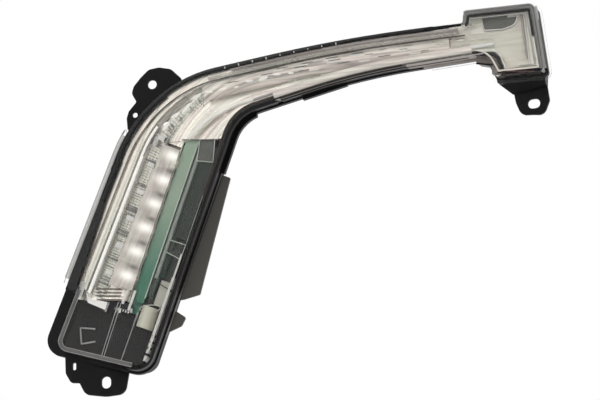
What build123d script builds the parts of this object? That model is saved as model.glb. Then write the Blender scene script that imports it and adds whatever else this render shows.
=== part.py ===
from build123d import *
import math
import os

# Daytime running light, in millimetres. +X runs along the arm, +Z is up and the lens faces -Y.
# The origin is the centre of the round fixing hole, on the front face of the upper tab.
# A depth is measured straight back from the face of the lens.

# Face of the lens: one cylinder about an upright axis, so the leg sweeps back like a bumper corner
FACE_RADIUS = 1400.0
FACE_APEX_X = 200.0
FACE_APEX_Y = -38.0

# Stock that every piece is cut from, larger than the lamp all round
STOCK_LEFT = -130.0
STOCK_RIGHT = 330.0
STOCK_BOTTOM = -260.0
STOCK_TOP = 90.0
STOCK_FRONT = -80.0
STOCK_BACK = 120.0

# Outline of the lens walls: a corner point and a radius for each corner, clockwise from the leg's foot
FOOT_LEFT = (-77.5, -189.2)
ELBOW_OUTER = (-2.1, -3.4)
ARM_TOP = (138.6, 23.6)
BOX_NOOK = (230.9, 33.6)
BOX_TOP_LEFT = (231.4, 41.3)
BOX_TOP_RIGHT = (280.6, 46.0)
BOX_LOW_RIGHT = (288.1, -1.6)
BOX_LOW_LEFT = (253.7, -4.5)
BOX_THROAT = (245.0, 11.9)
ARM_LOW = (155.4, -0.3)
ELBOW_INNER = (64.9, -26.6)
FOOT_RIGHT = (-0.6, -210.3)
CORNERS = [
    FOOT_LEFT, ELBOW_OUTER, ARM_TOP, BOX_NOOK, BOX_TOP_LEFT, BOX_TOP_RIGHT,
    BOX_LOW_RIGHT, BOX_LOW_LEFT, BOX_THROAT, ARM_LOW, ELBOW_INNER, FOOT_RIGHT,
]
CORNER_RADII = [8.4, 97.7, 1198.0, 2.0, 2.5, 3.5, 2.0, 2.0, 12.0, 500.0, 30.0, 13.0]
ELBOW_RADIUS = CORNER_RADII[1]
ARM_TOP_RADIUS = CORNER_RADII[2]

# Clearances
SEAT_GAP = 0.3
FIT_GAP = 0.2
PIN_GAP = 0.1
GLUE_GAP = 0.3

# Lens
LENS_WALL = 2.4
RIM_FRONT = 20.0
LENS_DIP = 1.4
LENS_FOOT = RIM_FRONT + LENS_DIP
SKIRT_REACH = 2.4
SKIRT_START = 48.0
SKIRT_END = 166.0
SET_BACK = 8.5
SET_BACK_AT = 40.0
SET_BACK_RUN = 8.0
SET_BACK_RADIUS = 4.0
FLANGE_REACH = 3.8
FLANGE_THICK = 1.6
FLANGE_START_X = 206.0
RIB_WIDTH = 1.2
RIB_HEIGHT = 1.6
RIB_LOW = 16.0
RIB_HIGH = 46.0
RIB_LINES = [(40.6, 44.0), (42.8, 46.2), (57.6, 58.6)]

# Rear housing
RIM_BACK = 26.0
GROOVE_DEEP = 3.0
LEG_FLOOR = 46.0
ARM_FLOOR = 36.0
FLOOR_STEP_X = 70.0
HOUSING_WALL = 2.0
HOUSING_BACK = LEG_FLOOR + HOUSING_WALL
RIM_LEG_LEFT = 3.4
RIM_ARM_TOP = 3.7
RIM_PLAIN = 1.4
RIM_LEG_FOOT = 2.0
LAND_WIDTH = 1.4
TRAY_INSET = LENS_WALL + GLUE_GAP + LAND_WIDTH
ELBOW_LIP = 3.6
ELBOW_LIP_AREA = [(38.0, -60.0), (45.0, -20.0), (78.0, -15.0), (78.0, -40.0), (60.0, -70.0)]
ARM_STRIP = [(111.5, -14.3), (143.5, -4.9)]
ARM_STRIP_HALF = 1.6

# Tabs, side plate and hook of the housing
TAB_THICK = 3.0
UPPER_TAB_Y = 0.0
LOWER_TAB_Y = 5.0
BOX_TAB_Y = -4.0
HOLE_RADIUS = 3.25
PIP_HOLE = (-12.4, -21.8)
PIP_HOLE_RADIUS = 1.9
UPPER_TAB = [
    (24.0, -4.0), (20.5, 4.6), (13.6, 10.9), (5.0, 12.3), (-2.5, 10.9), (-8.3, 5.2), (-13.4, -1.1),
    (-14.9, -6.2), (-11.4, -12.4), (-17.0, -19.1), (-18.5, -24.1), (-17.8, -32.3), (-12.0, -36.0),
    (10.0, -20.0),
]
UPPER_TAB_RADII = [0, 1, 5, 6, 6, 5, 5, 4, 1.5, 4, 4, 1, 0, 0]
LOWER_TAB = [
    (-64.0, -186.0), (-63.4, -207.0), (-59.5, -213.8), (-53.4, -214.0), (-49.0, -222.5),
    (-34.0, -224.2), (-20.0, -222.5), (-17.5, -208.0), (-17.5, -196.0),
]
LOWER_TAB_RADII = [0, 4, 3, 1.5, 6, 20, 7, 3, 0]
LOWER_SLOT = (-33.8, -214.0)
LOWER_SLOT_SIZE = (6.8, 8.7)
KEY_SLOT = (-57.0, -202.0)
KEY_SLOT_SIZE = (2.4, 5.4)
BOX_TAB = [
    (262.5, 0.0), (262.7, -13.5), (264.1, -20.1), (268.0, -29.0), (275.5, -28.6), (284.5, -29.0),
    (288.4, -18.4), (286.6, -7.6), (286.0, 0.0),
]
BOX_TAB_RADII = [0, 2, 3, 6, 30, 6, 4, 3, 0]
BOX_SLOT = (277.1, -20.7)
BOX_SLOT_SIZE = (8.9, 6.8)
BOX_SLOT_TILT = 8.0
SLOT_ROUNDING = 0.98
GUSSET_SHAPE = [(251.5, -1.0), (287.0, -1.0), (286.8, -8.0), (263.0, -14.6), (252.2, -6.4)]
GUSSET_TOP_Z = -1.0
GUSSET_NOSE = (-15.0, -5.6)
GUSSET_TOE_Z = -13.6
PLATE_FRONT = 38.5
PLATE_THICK = 2.5
SIDE_PLATE = [(46.0, -64.0), (55.6, -67.7), (33.2, -151.2), (21.4, -154.3), (8.0, -156.0)]
SIDE_PLATE_RADII = [0, 1, 1.5, 1, 0]
HOOK = [(4.0, -164.0), (14.7, -162.0), (22.8, -167.4), (19.6, -173.4), (9.5, -177.7), (0.0, -178.0)]
HOOK_RADII = [0, 1, 1.5, 3, 1, 0]

# Light guide: leg run, elbow, arm run, with its centre line in the front view
GUIDE_ACROSS = 22.2
GUIDE_START = 46.0
ARM_GUIDE_FROM = (94.7, 0.9)
ARM_GUIDE_BEND = (184.2, 14.3)
ARM_GUIDE_END = (252.0, 18.5)
GUIDE_ELBOW_RADIUS = 86.0
GUIDE_BEND_RADIUS = 700.0
GUIDE_HALF_LEG = 6.9
GUIDE_HALF_ABOVE = 4.4
GUIDE_HALF_BELOW = 3.4
GUIDE_FRONT = 7.4
GUIDE_BACK = 12.4
STRIPE_WIDTH = 4.2
STRIPE_FRONT = 6.2
GUIDE_FOOT = [(17.0, 47.0), (33.0, 47.0), (33.0, 39.5), (17.0, 41.5)]
CELL_COUNT = 6
CELL_PITCH = 18.0
FIRST_CELL = 70.0
GROOVES_PER_CELL = 6
GROOVE_PITCH = 1.5
GROOVE_HALF = 0.4
GROOVE_DEPTH = 0.9

# Silver bezel along the left of the leg, the elbow and the arm's top
BEZEL_INSET = 3.0
BEZEL_SKIN = 1.2
BEZEL_FRONT = 4.4
BEZEL_LAND = 8.4
BEZEL_STEP = 2.0
BEZEL_EDGE = 14.2
BEZEL_ARM_LAND = 7.6
BEZEL_ARM_EDGE = 8.8
BEZEL_LEDGE = 4.0
BEZEL_BACKING = 14.8
BEZEL_START = 49.0
BEZEL_END_X = 226.0

# Silver cells of the leg
CELLS_FRONT = 9.6
CELLS_BACK = 19.0
CELLS_FOOT = 52.0
SCALLOP_RADIUS = 8.4
SCALLOP_DEPTH = 8.2
CELLS_TOP_Z = -45.0
CELL_RIB_ACROSS = 37.0
CELL_RIB_THICK = 1.6
CELL_RIB_SPAN = (62.0, 150.0)

# Silver trough of the elbow and the arm: terraces from its wall inward, each an inset and a depth
TROUGH_TERRACES = [(6.5, 5.0), (10.0, 8.0)]
TROUGH_MIDDLE = 10.6
TROUGH_FLOOR = 14.2
TROUGH_LOW_Z = -44.0
TROUGH_LEFT_X = 8.0
TROUGH_END_X = 222.0

# Leg electronics, measured inward from the right wall and up along it
BOARD_THICK = 1.6
BOARD_EDGE = 30.0
BOARD_SHAPE = [
    (BOARD_EDGE, 43.5), (BOARD_EDGE, 163.0), (12.6, 163.0), (12.6, 68.0),
    (15.2, 68.0), (15.2, 52.0), (21.4, 52.0), (21.4, 37.5), (38.4, 37.5), (38.4, 43.0), (BOARD_EDGE, 43.0),
]
SINK_INSET = 4.8
SINK_EDGE = 29.5
SINK_THICK = 2.0
SINK_SPAN = (47.0, 169.0)
SINK_FRONT = 14.6
SINK_BACK = SINK_FRONT + SINK_THICK
BOARD_FRONT = SINK_FRONT - BOARD_THICK
FIN_THICK = 1.4
FIN_DEEP = 7.0
FIN_INSETS = [15.5, 20.5, 25.5]
FIN_SPAN = (54.0, 164.0)
PAD_RADIUS = 3.6
PAD_DEEP = 5.0
PAD_BACK = SINK_BACK + PAD_DEEP
SINK_POSTS = [(9.0, 84.0), (9.0, 146.0)]
SINK_SCREW_RADIUS = 1.6
SINK_SCREW_DEEP = 4.0
SCREW_HEAD_TALL = 2.0
LED_SIZE = 3.2
LED_TALL = 1.4
RAIL_SPAN = (12.8, 21.6)
RAIL_LOW = 70.0
RAIL_HIGH = 156.0
RAIL_FRONT = 9.4
RAIL_SKIN = 1.2
CLIP_FRONT = 7.6
CLIP_INSET = 5.2
UPPER_CLIP = (18.4, 157.5, 168.5)
LOWER_CLIP = (15.8, 86.0, 95.0)
CLIP_WALL = 1.2
PLUG_SPAN = (27.3, 38.2)
PLUG_LOW = 38.0
PLUG_HIGH = 43.0
PLUG_TALL = 3.4
PLUG_PINS = 5
PLUG_PIN_PITCH = 2.0
PLUG_PIN_HALF = 0.4
PLUG_PIN_OUT = 1.8
BLOCK_SPAN = (5.0, 12.2)
BLOCK_LOW = 48.0
BLOCK_HIGH = 66.0
BLOCK_TALL = 6.0
BLOCK_LATCH = 0.8
LATCH_IN = 0.6
LATCH_FROM = 64.5
LATCH_TO = 60.0
SLEEVE_INSET = 13.6
SLEEVE_SPAN = (29.5, 45.5)
SLEEVE_RADIUS = 6.1
SLEEVE_WALL = 1.5
SLEEVE_BASE = 3.0
DIFFUSER_INSET = 3.0
DIFFUSER_THICK = 1.4
DIFFUSER_SPAN = (14.0, 88.0)
DIFFUSER_FRONT = 5.0

# Arm electronics
ARM_BOARD_HALF = 3.6
ARM_BOARD_DEPTH = 16.8
ARM_BOARD_BACK = ARM_BOARD_DEPTH + BOARD_THICK
ARM_LED_COUNT = 13
ARM_LED_PITCH = 17.5
ARM_LED_FIRST = 136.0
ARM_LED_SIZE = 2.8
ARM_LED_TALL = 1.3
ARM_LED_HOLE = 2.2
ARM_BOARD_LOW_Z = -36.0
ARM_BOARD_END_X = 225.0
STAKE_AFTER = [1, 4, 8, 11]
STAKE_POST_RADIUS = 2.2
STAKE_RADIUS = 1.0
STAKE_TALL = 0.8

# End box
PANEL_FRONT = 9.4
PANEL_SHAPE = [
    (247.5, 29.4), (262.5, 31.5), (269.0, 44.0), (283.0, 44.0), (289.0, -4.0), (259.0, -4.0),
    (258.6, 9.6), (247.5, 12.8),
]
PANEL_RADII = [0, 12.0, 0, 0, 0, 0, 5.0, 0]
PANEL_STEPS = [(6.6, 6.0), (9.2, 7.8)]
PANEL_STEP_SIDE = [(262.0, 60.0), (300.0, 60.0), (300.0, 3.0), (262.0, 3.0)]
BOX_REFLECTOR_X = 234.0

# Bottom compartment
COVER_THICK = 1.6
COVER_END = 48.0
MARK = [(18.2, 23.0), (28.8, 26.0), (32.4, 17.6), (23.2, 12.6)]
MARK_HALF = 0.7
MARK_TALL = 0.8
DRIVER_SHAPE = [(16.0, 13.5), (16.0, 42.0), (70.0, 42.0), (70.0, 13.5)]
DRIVER_DEPTH = 30.0
DRIVER_BACK = DRIVER_DEPTH + BOARD_THICK
DRIVER_HOLES = [(20.0, 17.5), (20.0, 38.0), (66.0, 17.5), (66.0, 38.0)]
DRIVER_POST_RADIUS = 2.8
DRIVER_SCREW_RADIUS = 1.2
DRIVER_SCREW_HEAD = 2.6
DRIVER_SCREW_LONG = 9.0
CHOKE_AT = (32.0, 30.0)
CHOKE_RADIUS = 6.0
CHOKE_TALL = 8.0
CHOKE_FLANGE = 1.4
CHOKE_NECK = 1.2
CAPACITORS_AT = [(48.0, 33.0), (57.5, 33.0)]
CAPACITOR_RADIUS = 4.0
CAPACITOR_TALL = 8.4
CHIP_AT = [(44.0, 20.0), (54.0, 20.0)]
CHIP_HALF = 3.0
CHIP_TALL = 1.6

# Socket and breather on the back
SOCKET_AT = (43.0, 27.0)
SOCKET_PLUG = (19.6, 10.6)
SOCKET_FLANGE = (27.0, 18.0)
SOCKET_SHROUD = (24.0, 15.0)
SOCKET_CORNER = 3.0
SOCKET_WALL = 1.5
SOCKET_FLANGE_THICK = 2.0
SHROUD_LONG = 15.0
PLUG_LONG = 4.6
SNAP_REACH = 0.9
SNAP_HALF = 2.5
SEAL_THICK = 1.2
SHROUD_START = HOUSING_BACK + SEAL_THICK + SOCKET_FLANGE_THICK
TERMINAL_COUNT = 3
TERMINAL_PITCH = 4.6
TERMINAL_SIZE = (2.2, 0.8)
TERMINAL_OUT = 8.5
NIPPLE_AT = (36.0, 132.0)
NIPPLE_RADIUS = 4.0
NIPPLE_BORE = 2.4
NIPPLE_LONG = 9.0
NIPPLE_END = HOUSING_BACK + NIPPLE_LONG
CAP_WALL = 2.0
CAP_TOP = 2.4
CAP_START = 1.0
CAP_SLIT = 1.2
CAP_SLIT_LONG = 3.0


def along(angle):
    """Unit vector at an angle from +X, in the front view."""
    return (math.cos(math.radians(angle)), math.sin(math.radians(angle)))


def heading(start, end):
    """Angle of the line from start to end, in degrees."""
    return math.degrees(math.atan2(end[1] - start[1], end[0] - start[0]))


LEG_ANGLE = heading(FOOT_LEFT, ELBOW_OUTER)
WALL_ANGLE = heading(FOOT_RIGHT, ELBOW_INNER)


def leg_point(across, up):
    """Point of the leg: across from its left wall, up along it from its foot."""
    ux, uz = along(LEG_ANGLE)
    return (FOOT_LEFT[0] + across * uz + up * ux, FOOT_LEFT[1] - across * ux + up * uz)


def wall_point(inward, up):
    """Point of the leg: inward from its right wall, up along it from its foot."""
    ux, uz = along(WALL_ANGLE)
    return (FOOT_RIGHT[0] - inward * uz + up * ux, FOOT_RIGHT[1] + inward * ux + up * uz)


def line_crossing(p, p_angle, q, q_angle):
    """Where two lines cross, each given by a point and an angle."""
    px, pz = along(p_angle)
    qx, qz = along(q_angle)
    reach = ((q[0] - p[0]) * qz - (q[1] - p[1]) * qx) / (px * qz - pz * qx)
    return (p[0] + reach * px, p[1] + reach * pz)


def turn_at(before, corner, after):
    """Turn at a corner in degrees: negative to the right, positive to the left."""
    return (heading(corner, after) - heading(before, corner) + 180) % 360 - 180


def moved_line(start, end, shift):
    """A point on the line from start to end after it moves to its right, and the line's angle."""
    angle = heading(start, end)
    ux, uz = along(angle)
    return (start[0] + shift * uz, start[1] - shift * ux), angle


def inset_loop(corners, radii, insets):
    """Moves each side of a clockwise loop inward and gives the new corners and radii."""
    count = len(corners)
    sides = [moved_line(corners[i], corners[(i + 1) % count], insets[i]) for i in range(count)]
    new_corners = []
    new_radii = []
    for i in range(count):
        new_corners.append(line_crossing(*sides[i - 1], *sides[i]))
        bend = turn_at(corners[i - 1], corners[i], corners[(i + 1) % count])
        shift = max(insets[i - 1], insets[i], key=abs)
        radius = radii[i] - shift if bend < 0 else radii[i] + shift
        new_radii.append(max(radius, 0.0))
    return new_corners, new_radii


def shifted_path(points, shifts):
    """Moves each run of an open path to its right by its own distance."""
    runs = [moved_line(points[i], points[i + 1], shifts[i]) for i in range(len(points) - 1)]
    middles = [line_crossing(*runs[i], *runs[i + 1]) for i in range(len(runs) - 1)]
    (last, last_angle), run_length = runs[-1], math.dist(points[-2], points[-1])
    ux, uz = along(last_angle)
    return [runs[0][0], *middles, (last[0] + run_length * ux, last[1] + run_length * uz)]


def stock_vector(point):
    """A front-view point as a vector on the stock's front plane."""
    return Vector(point[0], STOCK_FRONT, point[1])


def rounded_corner(before, corner, after, radius):
    """Start, crown and end of the arc that rounds a corner."""
    half = math.radians(abs(turn_at(before, corner, after))) / 2
    reach = radius * math.tan(half)
    back = along(heading(corner, before))
    ahead = along(heading(corner, after))
    middle = (back[0] + ahead[0], back[1] + ahead[1])
    sagitta = (radius / math.cos(half) - radius) / math.hypot(*middle)
    start = (corner[0] + reach * back[0], corner[1] + reach * back[1])
    crown = (corner[0] + sagitta * middle[0], corner[1] + sagitta * middle[1])
    end = (corner[0] + reach * ahead[0], corner[1] + reach * ahead[1])
    return start, crown, end


def rounded_edges(corners, radii, closed=True):
    """Straight lines joined by tangent arcs through a list of corners."""
    count = len(corners)
    inner = range(count) if closed else range(1, count - 1)
    arcs = [rounded_corner(corners[i - 1], corners[i], corners[(i + 1) % count], radii[i]) for i in inner]
    here = arcs[-1][2] if closed else corners[0]
    edges = []
    for start, crown, end in arcs:
        if math.dist(here, start) > 1e-4:
            edges.append(Edge.make_line(stock_vector(here), stock_vector(start)))
        if math.dist(start, end) > 1e-4:
            edges.append(Edge.make_three_point_arc(*map(stock_vector, (start, crown, end))))
        here = end
    if not closed:
        edges.append(Edge.make_line(stock_vector(here), stock_vector(corners[-1])))
    return edges


def blank(corners, radii=None):
    """Straight prism of an outline, right through the stock from front to back."""
    face = Face(Wire(rounded_edges(corners, radii or [0.0] * len(corners))))
    return extrude(face, STOCK_BACK - STOCK_FRONT, dir=(0, 1, 0))


def face_y(x, depth=0.0):
    """Y at a depth behind the lens face, at x."""
    return FACE_APEX_Y + depth + FACE_RADIUS - math.sqrt(FACE_RADIUS ** 2 - (x - FACE_APEX_X) ** 2)


def depth_arc(depth):
    """Edge of the curved surface at a depth, along the stock's bottom."""
    stations = (STOCK_LEFT, FACE_APEX_X, STOCK_RIGHT)
    return Edge.make_three_point_arc(*[Vector(x, face_y(x, depth), STOCK_BOTTOM) for x in stations])


def slab(front, back):
    """Curved slab of stock between two depths."""
    near, far = depth_arc(front), depth_arc(back)
    sides = [Edge.make_line(near @ 0, far @ 0), Edge.make_line(near @ 1, far @ 1)]
    return extrude(Face(Wire([near, far, *sides])), STOCK_TOP - STOCK_BOTTOM, dir=(0, 0, 1))


def layer(corners, radii, front, back):
    """Piece of an outline between two depths."""
    return blank(corners, radii) & slab(front, back)


def bar(start, end, half_width, front, back):
    """Straight bar between two front-view points and two depths."""
    ux, uz = along(heading(start, end))
    dx, dz = -uz * half_width, ux * half_width
    corners = [
        (start[0] + dx, start[1] + dz), (end[0] + dx, end[1] + dz),
        (end[0] - dx, end[1] - dz), (start[0] - dx, start[1] - dz),
    ]
    return layer(corners, None, front, back)


def pin(point, radius, front, back):
    """Round bar or hole with square ends, along Y between two depths at a point."""
    start = Vector(point[0], face_y(point[0], front), point[1])
    return Solid.make_cylinder(radius, back - front, Plane(origin=start, z_dir=(0, 1, 0)))


def post(point, radius, front, back):
    """Round post along Y whose ends follow the curved surfaces at two depths."""
    return pin(point, radius, front - radius, back + radius) & slab(front, back)


def upright_box(x_from, x_to, z_from, z_to):
    """Region of the stock between two X and two Z values."""
    return blank([(x_from, z_from), (x_from, z_to), (x_to, z_to), (x_to, z_from)])


def right_of(x):
    """Region of the stock beyond an X value."""
    return upright_box(x, STOCK_RIGHT, STOCK_BOTTOM, STOCK_TOP)


def left_of(x):
    """Region of the stock before an X value."""
    return upright_box(STOCK_LEFT, x, STOCK_BOTTOM, STOCK_TOP)


def above(z):
    """Region of the stock over a Z value."""
    return upright_box(STOCK_LEFT, STOCK_RIGHT, z, STOCK_TOP)


def leg_above(up):
    """Region of the stock beyond a station of the leg, square to it."""
    reach = STOCK_RIGHT - STOCK_LEFT
    return blank([leg_point(-reach, up), leg_point(-reach, up + reach), leg_point(reach, up + reach),
                  leg_point(reach, up)])


def wall_patch(inner, outer, low, high, front, back):
    """Block of the leg between two insets from its right wall and two stations."""
    corners = [(inner, low), (inner, high), (outer, high), (outer, low)]
    return layer([wall_point(*corner) for corner in corners], None, front, back)


def lens_loop(inset=0.0):
    """Outline of the lens walls moved inward: it steps in along the left of the bottom compartment."""
    low = leg_point(SET_BACK, SET_BACK_AT)
    high = leg_point(0.0, SET_BACK_AT + SET_BACK_RUN)
    foot = line_crossing(low, LEG_ANGLE, FOOT_LEFT, heading(FOOT_RIGHT, FOOT_LEFT))
    corners = [foot, low, high, *CORNERS[1:]]
    radii = [CORNER_RADII[0], SET_BACK_RADIUS, SET_BACK_RADIUS, *CORNER_RADII[1:]]
    return inset_loop(corners, radii, [inset] * len(corners))


def outer_loop(reach):
    """Outline of the lens walls without the step, moved outward."""
    return inset_loop(CORNERS, CORNER_RADII, [-reach] * len(CORNERS))


def rim_loop():
    """Outer edge of the housing's glue rim, wider along the leg's left and the arm's top."""
    reaches = [RIM_LEG_LEFT, RIM_ARM_TOP, RIM_ARM_TOP, *[RIM_PLAIN] * 8, RIM_LEG_FOOT]
    return inset_loop(CORNERS, CORNER_RADII, [-reach for reach in reaches])


def groove():
    """Glue groove of the rim, under the foot of the lens."""
    outside = layer(*lens_loop(-GLUE_GAP), RIM_FRONT, RIM_FRONT + GROOVE_DEEP)
    return outside - blank(*lens_loop(LENS_WALL + GLUE_GAP))


def guide_path():
    """Corner points of the light guide's centre line: leg start, elbow, bend in the arm, end."""
    arm_angle = heading(ARM_GUIDE_FROM, ARM_GUIDE_BEND)
    elbow = line_crossing(leg_point(GUIDE_ACROSS, 0.0), LEG_ANGLE, ARM_GUIDE_FROM, arm_angle)
    return [leg_point(GUIDE_ACROSS, GUIDE_START), elbow, ARM_GUIDE_BEND, ARM_GUIDE_END]


def guide_band(leg_left, arm_above, leg_right, arm_below):
    """Outline of a band that follows the light guide's centre line."""
    points = guide_path()
    upper = shifted_path(points, [-leg_left, -arm_above, -arm_above])
    lower = shifted_path(points, [leg_right, arm_below, arm_below])
    upper_radii = [0.0, GUIDE_ELBOW_RADIUS + leg_left, GUIDE_BEND_RADIUS + arm_above, 0.0]
    lower_radii = [0.0, GUIDE_ELBOW_RADIUS - leg_right, GUIDE_BEND_RADIUS - arm_below, 0.0]
    return [*upper, *reversed(lower)], [*upper_radii, *reversed(lower_radii)]


def guide_centre():
    """Centre line of the light guide as a wire."""
    radii = [0.0, GUIDE_ELBOW_RADIUS, GUIDE_BEND_RADIUS, 0.0]
    return Wire(rounded_edges(guide_path(), radii, closed=False))


def arm_stations(offset=0.0):
    """Front-view points of the arm's light sources along the guide's centre line."""
    centre = guide_centre()
    stations = [ARM_LED_FIRST + offset + i * ARM_LED_PITCH for i in range(ARM_LED_COUNT)]
    points = [centre.position_at(station, position_mode=PositionMode.LENGTH) for station in stations]
    return [(point.X, point.Z) for point in points]


def socket_outline(size, grow=0.0):
    """Rounded rectangle about the socket's centre, in line with the leg."""
    half_across, half_up = size[0] / 2 + grow, size[1] / 2 + grow
    across, up = SOCKET_AT
    corners = [
        leg_point(across - half_across, up - half_up), leg_point(across - half_across, up + half_up),
        leg_point(across + half_across, up + half_up), leg_point(across + half_across, up - half_up),
    ]
    return corners, [SOCKET_CORNER + grow] * 4


def floor_depth(point):
    """Depth of the housing floor under a front-view point."""
    return LEG_FLOOR if point[0] < FLOOR_STEP_X else ARM_FLOOR


def tab_plate(corners, radii, front_y):
    """Flat tab of the housing between two upright planes."""
    plate = extrude(Face(Wire(rounded_edges(corners, radii))), TAB_THICK, dir=(0, 1, 0))
    return plate.moved(Location((0, front_y - STOCK_FRONT, 0)))


def slot_cut(centre, size, tilt=0.0):
    """Round-ended slot right through the stock."""
    ux, uz = along(tilt)
    wide, tall = size[0] / 2, size[1] / 2
    corners = []
    for a, b in [(-wide, -tall), (-wide, tall), (wide, tall), (wide, -tall)]:
        corners.append((centre[0] + a * ux - b * uz, centre[1] + a * uz + b * ux))
    return blank(corners, [min(wide, tall) * SLOT_ROUNDING] * 4)


def hole_cut(centre, radius):
    """Round hole right through the stock."""
    start = stock_vector(centre)
    return Solid.make_cylinder(radius, STOCK_BACK - STOCK_FRONT, Plane(origin=start, z_dir=(0, 1, 0)))


def gusset():
    """Sloping web from the end box's rim back to its tab."""
    back = BOX_TAB_Y + TAB_THICK
    nose_y, nose_z = GUSSET_NOSE
    slope = [(nose_y, GUSSET_TOP_Z), (nose_y, nose_z), (BOX_TAB_Y, GUSSET_TOE_Z), (back, GUSSET_TOE_Z),
             (back, GUSSET_TOP_Z)]
    wedge = Face(Wire.make_polygon([Vector(BOX_NOOK[0], y, z) for y, z in slope], close=True))
    return extrude(wedge, STOCK_RIGHT - BOX_NOOK[0], dir=(1, 0, 0)) & blank(GUSSET_SHAPE)


def housing_rim():
    """Glue rim round the whole lamp, with its lip at the elbow and its strip under the arm."""
    rim = layer(*rim_loop(), RIM_FRONT, RIM_BACK) & left_of(FLANGE_START_X)
    rim += layer(*outer_loop(RIM_PLAIN), RIM_FRONT, RIM_BACK)
    rim += layer(*outer_loop(ELBOW_LIP), RIM_FRONT, RIM_BACK) & blank(ELBOW_LIP_AREA)
    return rim + bar(*ARM_STRIP, ARM_STRIP_HALF, RIM_FRONT, RIM_BACK)


def housing_posts():
    """Posts on the tray's floor that carry the heat sink, the boards and the cells."""
    posts = [post(wall_point(*spot), PAD_RADIUS, PAD_BACK, HOUSING_BACK) for spot in SINK_POSTS]
    posts += [post(leg_point(*spot), DRIVER_POST_RADIUS, DRIVER_BACK, HOUSING_BACK) for spot in DRIVER_HOLES]
    low, high = CELL_RIB_SPAN
    ends = leg_point(CELL_RIB_ACROSS, low), leg_point(CELL_RIB_ACROSS, high)
    posts.append(bar(*ends, CELL_RIB_THICK / 2, CELLS_BACK, HOUSING_BACK))
    for point in stake_points():
        posts.append(post(point, STAKE_POST_RADIUS, ARM_BOARD_BACK, floor_depth(point) + 1.0))
        posts.append(post(point, STAKE_RADIUS, ARM_BOARD_DEPTH - STAKE_TALL, ARM_BOARD_BACK + 1.0))
    posts.append(post(leg_point(*NIPPLE_AT), NIPPLE_RADIUS, LEG_FLOOR, NIPPLE_END))
    return posts


def stake_points():
    """Front-view points of the stakes, half way between light sources of the arm."""
    stations = arm_stations(ARM_LED_PITCH / 2)
    return [stations[i] for i in STAKE_AFTER]


def housing_bores():
    """Holes through the housing's posts and floor."""
    sink_bore = SINK_SCREW_RADIUS + FIT_GAP
    driver_bore = DRIVER_SCREW_RADIUS + PIN_GAP
    bores = [pin(wall_point(*spot), sink_bore, SINK_FRONT, HOUSING_BACK + 1.0) for spot in SINK_POSTS]
    bores += [pin(leg_point(*spot), driver_bore, DRIVER_DEPTH, LEG_FLOOR) for spot in DRIVER_HOLES]
    bores.append(pin(leg_point(*NIPPLE_AT), NIPPLE_BORE, LEG_FLOOR - 1.0, NIPPLE_END + 1.0))
    bores.append(layer(*socket_outline(SOCKET_PLUG, FIT_GAP), LEG_FLOOR - 1.0, HOUSING_BACK + 1.0))
    return bores


def rear_housing():
    """Black tray: glue rim, tray behind it, tabs, side plate, hook and the posts inside."""
    wall_loop = lens_loop(TRAY_INSET - HOUSING_WALL)
    shell = layer(*wall_loop, RIM_FRONT, HOUSING_BACK) & left_of(FLOOR_STEP_X + HOUSING_WALL)
    shell += layer(*wall_loop, RIM_FRONT, ARM_FLOOR + HOUSING_WALL)
    body = housing_rim() + shell
    body += tab_plate(UPPER_TAB, UPPER_TAB_RADII, UPPER_TAB_Y)
    body += tab_plate(LOWER_TAB, LOWER_TAB_RADII, LOWER_TAB_Y)
    body += tab_plate(BOX_TAB, BOX_TAB_RADII, BOX_TAB_Y)
    body += gusset()
    body += layer(SIDE_PLATE, SIDE_PLATE_RADII, PLATE_FRONT, PLATE_FRONT + PLATE_THICK)
    body += layer(HOOK, HOOK_RADII, PLATE_FRONT, PLATE_FRONT + PLATE_THICK)
    body -= layer(*lens_loop(-GLUE_GAP), 0.0, RIM_FRONT)
    cavity_loop = lens_loop(TRAY_INSET)
    body -= layer(*cavity_loop, RIM_FRONT - 1.0, LEG_FLOOR) & left_of(FLOOR_STEP_X)
    body -= layer(*cavity_loop, RIM_FRONT - 1.0, ARM_FLOOR)
    body -= groove()
    body += housing_posts()
    body -= housing_bores()
    body -= hole_cut((0.0, 0.0), HOLE_RADIUS)
    body -= hole_cut(PIP_HOLE, PIP_HOLE_RADIUS) & tab_plate(UPPER_TAB, UPPER_TAB_RADII, UPPER_TAB_Y)
    body -= slot_cut(LOWER_SLOT, LOWER_SLOT_SIZE)
    body -= slot_cut(KEY_SLOT, KEY_SLOT_SIZE)
    body -= slot_cut(BOX_SLOT, BOX_SLOT_SIZE, BOX_SLOT_TILT)
    return body


def outer_lens():
    """Clear lens: face, side walls, skirt along the leg, flange at the box and inner ribs."""
    hollow = blank(*lens_loop(LENS_WALL))
    lens = layer(*lens_loop(), 0.0, LENS_FOOT) - (hollow & slab(LENS_WALL, LENS_FOOT + 1.0))
    skirt = layer(*outer_loop(SKIRT_REACH), 0.0, LENS_WALL)
    skirt &= leg_above(SKIRT_START) & left_of(leg_point(0.0, SKIRT_END)[0])
    lens += skirt - leg_above(SKIRT_END)
    flange_back = RIM_FRONT - SEAT_GAP
    flange = layer(*outer_loop(FLANGE_REACH), flange_back - FLANGE_THICK, flange_back) - hollow
    lens += flange & right_of(FLANGE_START_X)
    rib_back = LENS_WALL + RIB_HEIGHT
    for high, low in RIB_LINES:
        lens += bar(leg_point(high, RIB_HIGH), leg_point(low, RIB_LOW), RIB_WIDTH / 2, LENS_WALL, rib_back)
    return lens


def sealant_bead():
    """Glue that fills the rim's groove round the foot of the lens."""
    return groove() - (layer(*lens_loop(), 0.0, LENS_FOOT) - blank(*lens_loop(LENS_WALL)))


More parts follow.
